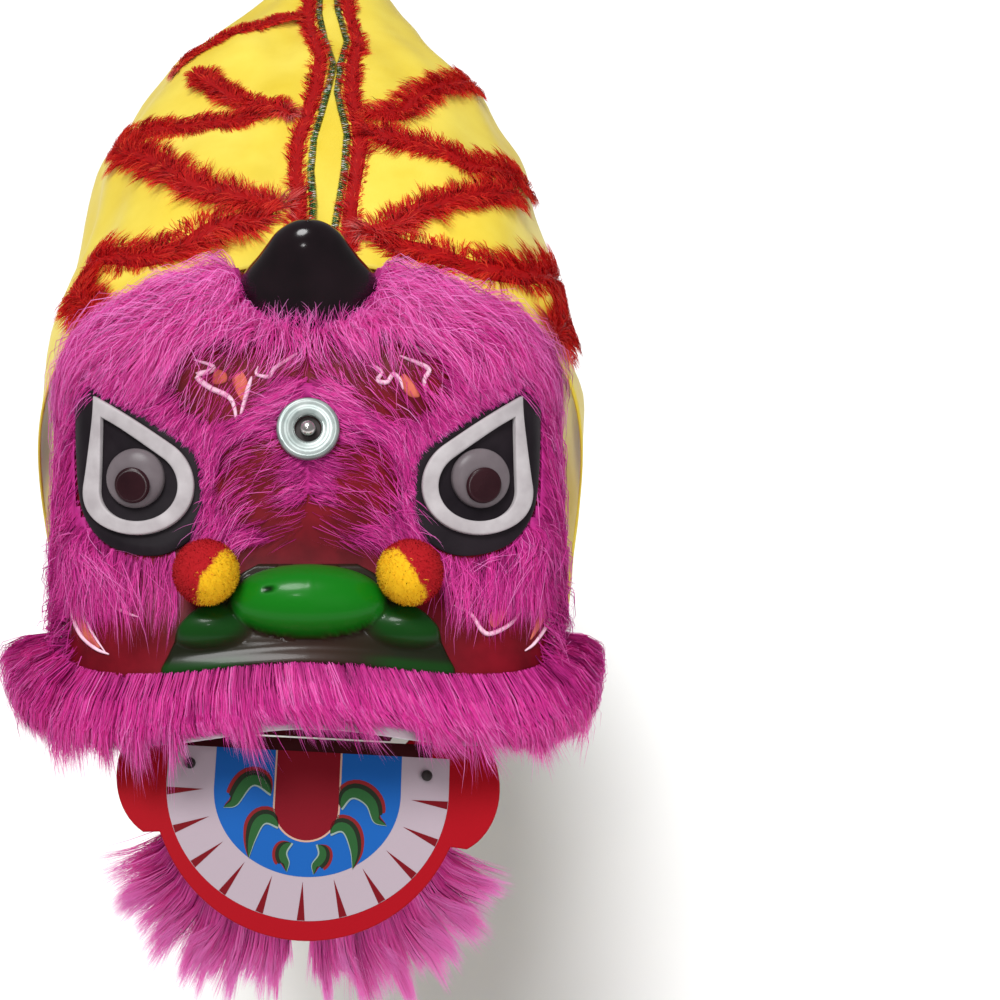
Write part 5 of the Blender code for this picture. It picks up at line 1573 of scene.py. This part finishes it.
# The board's print, in places (across, up) from its middle
BOARD_RED = (0.270, 0.003, 0.008)
TEETH_GREY = (0.33, 0.27, 0.305)
PRINT_BLUE = (0.008, 0.080, 0.300)
TONGUE_RED = (0.150, 0.004, 0.010)
LINE_TAN = (0.42, 0.26, 0.20)
LEAF_GREEN = (0.018, 0.075, 0.022)
LEAF_DARK = (0.012, 0.018, 0.010)
HALO_RED = (0.17, 0.012, 0.014)
WEDGE_RED = (0.13, 0.004, 0.008)
# the dark brown band across the board's top is the painted shadow that the lip casts on it
LIP_SHADOW_BROWN = (0.030, 0.004, 0.005)
CURL_PALE = (0.20, 0.26, 0.24)
MOUTH_TOP = 0.0160
TEETH_REACH = (0.0870, 0.0800)
TEETH_MIDDLE = -0.0045
BLUE_REACH = (0.0575, 0.0510)
BLUE_MIDDLE = -0.0080
TONGUE_REACH = (0.0195, 0.0195)
TONGUE_MIDDLE = -0.0180
TONGUE_RIM = 0.0011
WEDGES = 11
WEDGE_STEP = 16.9
WEDGE_LENGTH = 0.0225
WEDGE_HALF = 0.0024
PRINT_STEP = 0.00018
LEAVES = (
    # the pale line under a leaf and the leaf's width, all in mm
    (((-22.3, -11.6), (-33.4, -6.5), (-42.7, -18.7), (-50.8, -20.6)), 12.0),
    (((-16.7, -31.0), (-24.8, -29.0), (-29.7, -38.0), (-33.4, -49.7)), 11.0),
    (((-7.4, -39.6), (-10.5, -45.4), (-8.7, -51.2), (-9.9, -56.6)), 9.0),
    (((21.7, -18.0), (27.9, -11.0), (36.5, -14.8), (41.5, -24.5), (49.5, -26.4)), 12.0),
    (((15.5, -33.5), (22.9, -31.6), (27.9, -41.9), (29.7, -52.9)), 11.0),
    (((7.4, -39.6), (8.7, -45.4), (5.0, -51.5), (6.2, -57.3)), 9.0),
)
LEAF_LAYERS = (("edge", 1.0, HALO_RED), ("body", 0.80, LEAF_DARK), ("heart", 0.55, LEAF_GREEN))
LIP_SHADOW_HALF_WIDTH = 0.0760


def printed(name, outline, layer, colour):
    """A flat printed shape on the board, as a thin raised film."""
    outline = np.asarray(outline)
    level = JAW_BOARD / 2 + layer * PRINT_STEP
    mesh = bpy.data.meshes.new(name)
    top = jaw_points(*outline.T, level + PRINT_STEP)
    low = jaw_points(*outline.T, JAW_BOARD / 2 - 0.0002)
    count = len(outline)
    faces = [tuple(range(count)), tuple(reversed(range(count, 2 * count)))]
    faces += [(step, step + count, (step + 1) % count + count, (step + 1) % count) for step in range(count)]
    mesh.from_pydata(np.vstack((top, low)).tolist(), [], faces)
    mesh.update()
    if mesh.polygons[0].normal.dot(Vector(jaw_frame()[3])) < 0:
        mesh.flip_normals()
    paint(mesh, np.full((2 * count, 3), colour))
    piece(mesh, "print", smooth=False)


def mouth_shape(reach, middle, steps=64):
    """A round-bottomed shape that runs up to the mouth's straight top edge."""
    low = arc((0.0, middle), *reach, math.pi, 2 * math.pi, steps)
    return np.vstack(((-reach[0], MOUTH_TOP), low, (reach[0], MOUTH_TOP)))


def build_print():
    """Teeth with red wedges between them, a blue mouth with a tongue, leaves and a dark top band of painted
    lip shadow.
    """
    printed("print_teeth", mouth_shape(TEETH_REACH, TEETH_MIDDLE), 1, TEETH_GREY)
    for number in range(WEDGES):
        angle = math.radians(-90 + WEDGE_STEP * (number - (WEDGES - 1) / 2))
        way = np.array((math.cos(angle), math.sin(angle)))
        aside = np.array((-way[1], way[0])) * WEDGE_HALF
        base = np.array((0.0, TEETH_MIDDLE)) + way * np.array(TEETH_REACH) * 0.997
        outline = (base - aside, base - way * WEDGE_LENGTH, base + aside)
        printed(f"print_wedge_{number + 1}", outline, 2, WEDGE_RED)
    printed("print_blue", mouth_shape(BLUE_REACH, BLUE_MIDDLE), 2, PRINT_BLUE)
    rim = np.array(TONGUE_REACH) + TONGUE_RIM
    printed("print_tongue_line", mouth_shape(rim, TONGUE_MIDDLE, 24), 3, LINE_TAN)
    printed("print_tongue", mouth_shape(TONGUE_REACH, TONGUE_MIDDLE, 24), 4, TONGUE_RED)
    for number, (line, width) in enumerate(LEAVES):
        build_leaf(number + 1, np.array(line) / 1000, width / 1000)
    # a dark band along the board's top: painted shadow of the lip
    half = LIP_SHADOW_HALF_WIDTH
    shadow_band = ((-half, MOUTH_TOP), (half, MOUTH_TOP), (half, JAW_TOP), (-half, JAW_TOP))
    printed("print_lip_shadow_band", shadow_band, 1, LIP_SHADOW_BROWN)


def build_leaf(number, line, width):
    """A leaf that arches over a pale curling line: red edge, dark body and green heart."""
    route = smooth_path(line, 30)
    run = unit(np.gradient(route, axis=0))
    aside = np.stack((-run[:, 1], run[:, 0]), axis=-1) * np.sign(line[0][0])
    share = np.linspace(0.0, 1.0, len(route))[:, None]
    swell = np.clip(np.sin(math.pi * share**0.75), 0.0, 1.0) ** 0.8
    for layer, (label, reach, colour) in enumerate(LEAF_LAYERS):
        outline = np.vstack((route, (route + aside * width * reach * swell)[::-1]))
        printed(f"print_leaf_{label}_{number}", outline, 3 + layer, colour)
    thin = aside * 0.0005 * (1.2 - share)
    outline = np.vstack((route - thin, (route + thin)[::-1]))
    printed(f"print_leaf_line_{number}", outline, 3 + len(LEAF_LAYERS), CURL_PALE)


def build_jaw_tie(side, label):
    """A short cord, knotted in front of the board, through its hole and over its top edge to the lip."""
    front = JAW_BOARD / 2
    ear_top = EAR_UP + EAR_HALF_HEIGHT * math.sqrt(1 - ((EAR_X - TIE_X) / EAR_HALF_WIDTH) ** 2)
    knot = [(TIE_UP, front + out, swell) for out, swell in TIE_KNOT_PROFILE]
    behind = (
        (TIE_UP, -front - 0.0006), (TIE_UP + 0.0012, -front - 0.0022), (TIE_UP + 0.0040, -front - 0.0030),
        (ear_top - 0.0050, -front - 0.0032), (ear_top + 0.0030, -front - 0.0010),
        (ear_top + 0.0075, front + 0.0040),
    )
    route = knot + [(up, out, 1.0) for up, out in behind]
    centres = [jaw_points(side * TIE_X, up, out) for up, out, swell in route]
    radii = [TIE_CORD * swell for up, out, swell in route]
    lip = head_at(side * TIE_X, TIE_LIP_V, -HEAD_WALL - TIE_GAP - TIE_CORD)
    start = centres[-1]
    for share in (0.25, 0.5, 0.75, 1.0):
        centres.append(start * (1 - share) + lip * share)
        radii.append(TIE_CORD)
    fine = smooth_path(np.column_stack((centres, radii)), 90)
    mesh = tube_mesh("jaw_cord_" + label, fine[:, :3], np.maximum(fine[:, 3], 0.0003), 16)
    piece(mesh, "cord", ("jaw_tie_" + label,))


LINING_HALF_WIDTH = 0.110
LINING_TOP_V = 0.80
LINING_WALL = 0.0012
LINING_PLEATS = 22.0
LINING_PLEAT_DEPTH = 0.0022


def build_mouth_cloth():
    """Pleated dark cloth from inside the lip down to the board's top edge."""
    across, share = spread_grid(*LINING_GRID, (-1.0, 1.0), (0.0, 1.0))
    u = u_of_x(LINING_HALF_WIDTH * across, LINING_TOP_V)
    top = above_head(u, LINING_TOP_V, -HEAD_WALL - LINING_WALL)
    foot = jaw_points(JAW_CLOTH_HALF_WIDTH * across, JAW_TOP + JAW_CLOTH_GAP, 0.0)
    points = top * (1 - share[..., None]) + foot * share[..., None]
    pleats = LINING_PLEAT_DEPTH * np.sin(LINING_PLEATS * across + 2.0 * share) * np.sin(math.pi * share)
    points[..., 1] += np.sin(math.pi * share) * 0.012 + pleats
    mesh = sheet_mesh("mouth_lining", points, LINING_BACK)
    made = piece(mesh, "maroon", ("mouth_cloth",))
    wall(made, LINING_WALL)


def build_beard(side, label, seed):
    """A tuft of long fur behind the board's lower rim."""
    random = np.random.default_rng(seed)
    count, knots, *make = FUR_MAKES["beard"]
    t = random.uniform(-0.04, 1.04, count)
    angle = np.radians(-90 + side * (BEARD_START + BEARD_SPAN * t))
    reach = BEARD_ROOT * JAW_RADIUS
    root = jaw_points(reach * np.cos(angle), reach * np.sin(angle), -JAW_BOARD / 2 - SEAT_GAP)
    clumps = 0.93 + 0.16 * np.sin(t * 29.0 + side) + 0.10 * np.sin(t * 71.0)
    length = (BEARD_LENGTH - 0.055 * np.abs(t - 0.45)) * random.uniform(0.60, 1.03, count) * clumps
    length = np.minimum(length, BEARD_LENGTH)
    spread = side * (0.004 + 0.046 * t) + random.normal(0.0, 0.004, count)
    bend = root + np.array(BEARD_BEND)
    tip = root + np.stack((spread, np.full(count, BEARD_TIP_BACK), -length), axis=-1)
    s = np.linspace(0.0, 1.0, knots)[:, None, None]
    outward = np.array((0.0, -1.0, -0.15))
    depth = BEARD_DEPTH * random.uniform(0.0, 1.0, count)
    back = -outward * (depth[:, None] * np.sin(math.pi * np.clip(s * 0.8 + 0.1, 0, 1)))
    points = (drawn_curve(root, bend, tip, s) + back).transpose(1, 0, 2)
    outward = np.broadcast_to(unit(outward), points.shape)
    pale = BEARD_PALE_TIP * np.linspace(0.0, 1.0, knots) ** 2
    name, node = "beard_strands_" + label, "beard_fur_" + label
    clumped_fur(name, points, outward, make, random, -0.06, pale, (node,))


# Back cloth and its trims

CAPE_WALL = 0.0016


def build_cape():
    """The yellow back cloth, one sheet from the crown to its hem."""
    mesh = sheet_mesh("back_cloth", hood_grid(wrinkled_cape, *CAPE_GRID), CAPE_MIDDLE)
    made = piece(mesh, "satin", ("cape_cloth",))
    wall(made, CAPE_WALL)


def spine_places(trim, steps):
    """Places (u, v) along one of the trims beside the middle seam."""
    rows = np.array(SPINE_ROWS)
    v = np.linspace(rows[0, 0], SPINE_END, steps)
    x = np.interp(v, rows[:, 0], rows[:, SPINE_COLUMNS.index(trim)])
    return u_of_x(x, v, CAPE_SECTIONS), v


SEQUIN_RADIUS = 0.0021
SEQUIN_STEP = 0.0022
SEQUIN_ASIDE = 0.0009
SEQUIN_HALF_HEIGHT = 0.0003
SEQUIN_SIDES = 8
SEQUIN_SHADES = (
    (0.03, 0.14, 0.03), (0.01, 0.04, 0.01), (0.40, 0.28, 0.05), (0.10, 0.20, 0.06), (0.45, 0.46, 0.38),
)
BRAID_LIFT = 0.0013


def build_braid(label, seed):
    """A narrow braid of small overlapping sequins."""
    random = np.random.default_rng(seed)
    u, v = spine_places("braid_" + label, 1200)
    run_length = lengths_along(above_cape(u, v, BRAID_LIFT))
    marks = np.arange(0.0, run_length[-1], SEQUIN_STEP / 2)
    at_u, at_v = np.interp(marks, run_length, u), np.interp(marks, run_length, v)
    centre = above_cape(at_u, at_v, BRAID_LIFT)
    out = cape_normal(at_u, at_v)
    run = unit(np.gradient(centre, axis=0))
    across = unit(np.cross(run, out))
    centre = centre + across * (np.where(np.arange(len(marks)) % 2, SEQUIN_ASIDE, -SEQUIN_ASIDE))[:, None]
    tilt = unit(out + run * 0.45 + random.normal(0.0, 0.10, out.shape))
    first = unit(np.cross(tilt, across))
    second = np.cross(tilt, first)
    sides = SEQUIN_SIDES
    turn = 2 * math.pi * np.arange(sides) / sides
    ring = first[:, None] * np.cos(turn)[:, None] + second[:, None] * np.sin(turn)[:, None]
    rim = centre[:, None] + ring * SEQUIN_RADIUS
    top = centre + tilt * SEQUIN_HALF_HEIGHT
    foot = centre - tilt * SEQUIN_HALF_HEIGHT
    vertices = np.concatenate((rim, top[:, None], foot[:, None]), axis=1)
    base = np.arange(len(marks))[:, None] * (sides + 2)
    step = np.arange(sides)
    upper = np.stack((base + step, base + (step + 1) % sides, base + sides + 0 * step), axis=-1)
    lower = np.stack((base + (step + 1) % sides, base + step, base + sides + 1 + 0 * step), axis=-1)
    faces = np.concatenate((upper, lower)).reshape(-1, 3)
    mesh = raw_mesh("sequin_braid_" + label, vertices.reshape(-1, 3), (), faces)
    shade = np.array(SEQUIN_SHADES)[random.integers(0, len(SEQUIN_SHADES), len(marks))]
    paint(mesh, shade[:, None].repeat(sides + 2, axis=1).reshape(-1, 3))
    piece(mesh, "sequin", ("spine_braid_" + label,), smooth=False)


STRIP_SEAT = 0.0004
STRIP_END = 0.010
STRIP_FAR_END = 0.012
STRIP_HEIGHT = 0.0075
PILE_ROWS = ((-0.95, 0.0005), (-0.5, 0.0014), (0.0, 0.0018), (0.5, 0.0014), (0.95, 0.0005))
# the pile's dark tone is painted shade under the strands
PILE_SHADOW_TONE = 0.32
PILE_WALL = 0.0002


def build_strip(kind, label, places, reach, lean, seed, pale_end=0.0):
    """A strip of red fur along a line of places (u, v) on the cloth, with the dense pile under it.

    lean is how much of each strand runs along the line, reach the half width of the roots, and
    pale_end how pale the strands' tips get at the line's far end.
    """
    run_length = lengths_along(above_cape(places[:, 0], places[:, 1], 0.0))

    def place_at(marks):
        return np.interp(marks, run_length, places[:, 0]), np.interp(marks, run_length, places[:, 1])

    strip_strands(kind, label, place_at, run_length[-1], reach, lean, seed, pale_end)
    build_pile(f"{kind}_pile_{label}", place_at, run_length[-1], reach)


def strip_strands(kind, label, place_at, length, reach, lean, seed, pale_end):
    """Strands that grow from a line on the cloth, fall to both sides of it and spread at its ends."""
    random = np.random.default_rng(seed)
    count, knots, width, per_clump, pull = FUR_MAKES[kind]
    mark = random.uniform(0.0, length, count)
    u, v = place_at(mark)
    foot, out = above_cape(u, v, STRIP_SEAT), cape_normal(u, v)
    run = unit(above_cape(*place_at(mark + 0.003), 0.0) - above_cape(*place_at(mark - 0.003), 0.0))
    across = unit(np.cross(run, out))
    aside = random.uniform(-1.0, 1.0, count)
    aim = across * (np.sign(aside) * (0.45 + 0.55 * np.abs(aside)))[:, None] + run * lean
    at_far_end = np.clip(1.0 - (length - mark) / STRIP_FAR_END, 0.0, 1.0)
    aim = aim + run * (1.6 * at_far_end - 1.2 * np.clip(1.0 - mark / STRIP_END, 0.0, 1.0))[:, None]
    aim = aim + across * random.normal(0.0, 0.3, (count, 1))
    aim = unit(aim + run * random.normal(0.0, 0.3, (count, 1)))
    tufts = 1 + 0.22 * np.sin(mark / 0.0046 + 3.0 * np.sign(aside)) + 0.15 * np.sin(mark / 0.0021)
    aside = aside * np.clip(np.minimum(mark, length - mark) / STRIP_END, 0.0, 1.0) ** 0.5
    long = reach * 1.45 * random.uniform(0.45, 1.30, count) * tufts
    high = min(reach * 0.75, STRIP_HEIGHT) * random.uniform(0.3, 1.0, count) * (1 - 0.35 * np.abs(aside))
    points = []
    for share in np.linspace(0.0, 1.0, knots):
        lift = high * math.sin(min(share * 1.5, 1.0) * math.pi / 2) * (1 - 0.55 * share**2)
        point = foot + across * (aside * reach)[:, None] + aim * (long * share)[:, None]
        points.append(point + out * lift[:, None])
    points, clump = clumped(np.stack(points, axis=1), per_clump, pull, random)
    tone = strand_tones(count, knots, clump, random, -0.05)
    pale = (pale_end * at_far_end * random.uniform(0.2, 1.0, count))[:, None, None]
    pale = pale * np.linspace(0, 1, knots)[:, None]
    colour = shades(RED, tone) * (1 - pale) + np.array(PALE_TIP) * pale
    outward = out[:, None, :].repeat(knots, axis=1)
    name, node = f"{kind}_strands_{label}", f"{kind}_fur_{label}"
    strands(name, points, outward, width, colour, random, (node,))


def build_pile(name, place_at, length, reach):
    """The dense low pile under a strip's strands: a ribbon that is raised in the middle, painted a darker
    red as painted shade under the strands.
    """
    marks = np.linspace(0.0, length, 60)
    u, v = place_at(marks)
    middle, out = above_cape(u, v, 0.0), cape_normal(u, v)
    across = unit(np.cross(unit(np.gradient(middle, axis=0)), out))
    ends = np.clip(np.minimum(marks, length - marks) / STRIP_FAR_END, 0.0, 1.0)[:, None] ** 0.5
    rows = []
    for share, lift in PILE_ROWS:
        raised = out * (STRIP_SEAT + (lift - STRIP_SEAT) * ends)
        rows.append(middle + across * reach * share * ends + raised)
    mesh = raw_mesh(name, np.concatenate(rows), grid_quads(len(marks), len(rows)))
    paint(mesh, np.tile(shades(RED, PILE_SHADOW_TONE), (len(rows) * len(marks), 1)))
    flip_to(mesh, out.mean(axis=0))
    wall(piece(mesh, "fur"), PILE_WALL)


SPINE_FUR_REACH = 0.0058
SPINE_FUR_LEAN = 0.55
ZIGZAG_LEAN = -0.35
ZIGZAG_PALE_END = 0.9


def build_spine_fur(label, seed):
    places = np.column_stack(spine_places("fur_" + label, 200))
    build_strip("spine", label, places, SPINE_FUR_REACH, SPINE_FUR_LEAN, seed)


def build_zigzag(legs, widths, label, seed):
    """Red fur that runs to and fro between the spine and the side: a strip for each leg."""
    for number, (leg, half_width) in enumerate(zip(legs, widths)):
        leg = np.array(leg)
        start, end = leg[0] - leg[1], leg[-1] - leg[-2]
        longer = np.vstack((leg[0] + 0.25 * start, leg[1:-1], leg[-1] + 0.25 * end))
        places = smooth_path(longer, 60)
        leg_label = f"{label}_{number + 1}"
        build_strip("zigzag", leg_label, places, half_width, ZIGZAG_LEAN, seed + number, ZIGZAG_PALE_END)


# Camera, floor and light

def add_lamp(name, lamp, place):
    """A lamp aimed at the head."""
    light = bpy.data.objects.new(name, lamp)
    light.location = place
    way = Vector(LAMP_TARGET) - light.location
    light.rotation_euler = way.to_track_quat("-Z", "Y").to_euler()
    bpy.context.scene.collection.objects.link(light)
    return light


def build_camera():
    """The photograph's view: from in front and above, with the lens shifted sideways."""
    rise = CAMERA_RISE
    aim = np.array((0.0, math.cos(rise), -math.sin(rise)))
    camera = bpy.data.cameras.new("camera")
    camera.lens = CAMERA_LENS
    camera.sensor_fit = "HORIZONTAL"
    camera.sensor_width = 36.0
    camera.shift_x = CAMERA_SHIFT
    camera.clip_start = 0.01
    eye = bpy.data.objects.new("camera", camera)
    eye.location = np.array(CAMERA_TARGET) - aim * CAMERA_DISTANCE
    eye.rotation_euler = (math.pi / 2 - rise, 0.0, 0.0)
    bpy.context.scene.collection.objects.link(eye)
    bpy.context.scene.camera = eye


def build_floor():
    """A wide pale floor under the costume, which isn't part of it."""
    corners = [(x * FLOOR_HALF, y * FLOOR_HALF, FLOOR_Z) for x, y in ((-1, -1), (1, -1), (1, 1), (-1, 1))]
    mesh = bpy.data.meshes.new("floor")
    mesh.from_pydata(corners, [], [(0, 1, 2, 3)])
    floor = bpy.data.objects.new("floor", mesh)
    bpy.context.scene.collection.objects.link(floor)
    made, tree, shader = shader_of("pale_floor", (0.90, 0.90, 0.90), 0.7, specular=0.1)
    mottled(tree, shader, (0.885, 0.885, 0.885), (0.905, 0.905, 0.905), 2.0)
    mesh.materials.append(made)


def build_lights():
    """A soft sun, a wide fill that casts no reflection, a small window and an even white sky."""
    for name, place, size, power, reflected in LAMPS:
        lamp = bpy.data.lights.new(name, "AREA")
        lamp.size = size
        lamp.energy = power
        add_lamp(name, lamp, place).visible_glossy = reflected
    sun = bpy.data.lights.new("key", "SUN")
    sun.energy = SUN_STRENGTH
    sun.angle = SUN_ANGLE
    add_lamp("key", sun, SUN_PLACE)
    world = bpy.data.worlds.new("studio")
    world.use_nodes = True
    background = world.node_tree.nodes["Background"]
    background.inputs["Color"].default_value = (1.0, 1.0, 1.0, 1.0)
    background.inputs["Strength"].default_value = WORLD_STRENGTH
    bpy.context.scene.world = world
    bpy.context.scene.view_settings.view_transform = "Standard"


def main():
    build_camera()
    build_floor()
    build_lights()
    build_shell()
    build_ornaments()
    build_horn()
    build_mirror()
    build_nose()
    build_undercoat()
    build_horn_wisps()
    for side, label in ((-1, "left"), (1, "right")):
        build_eye_panel(side, label)
        build_eye_ring(side, label)
        build_eyeball(side, label)
        build_pompom(side, label, 40 + side)
        for number, kind in enumerate(HEAD_FURS):
            build_head_fur(kind, side, label, 100 + 10 * number + side)
        build_beard(side, label, 60 + side)
        build_jaw_tie(side, label)
        build_braid(label, 80 + side)
        build_spine_fur(label, 90 + side)
    build_lip_binding()
    build_lip_fur(7)
    build_jaw_board()
    build_print()
    build_mouth_cloth()
    build_cape()
    build_zigzag(ZIGZAGS_LEFT, ZIGZAG_WIDTHS_LEFT, "left", 200)
    build_zigzag(ZIGZAGS_RIGHT, ZIGZAG_WIDTHS_RIGHT, "right", 300)


main()
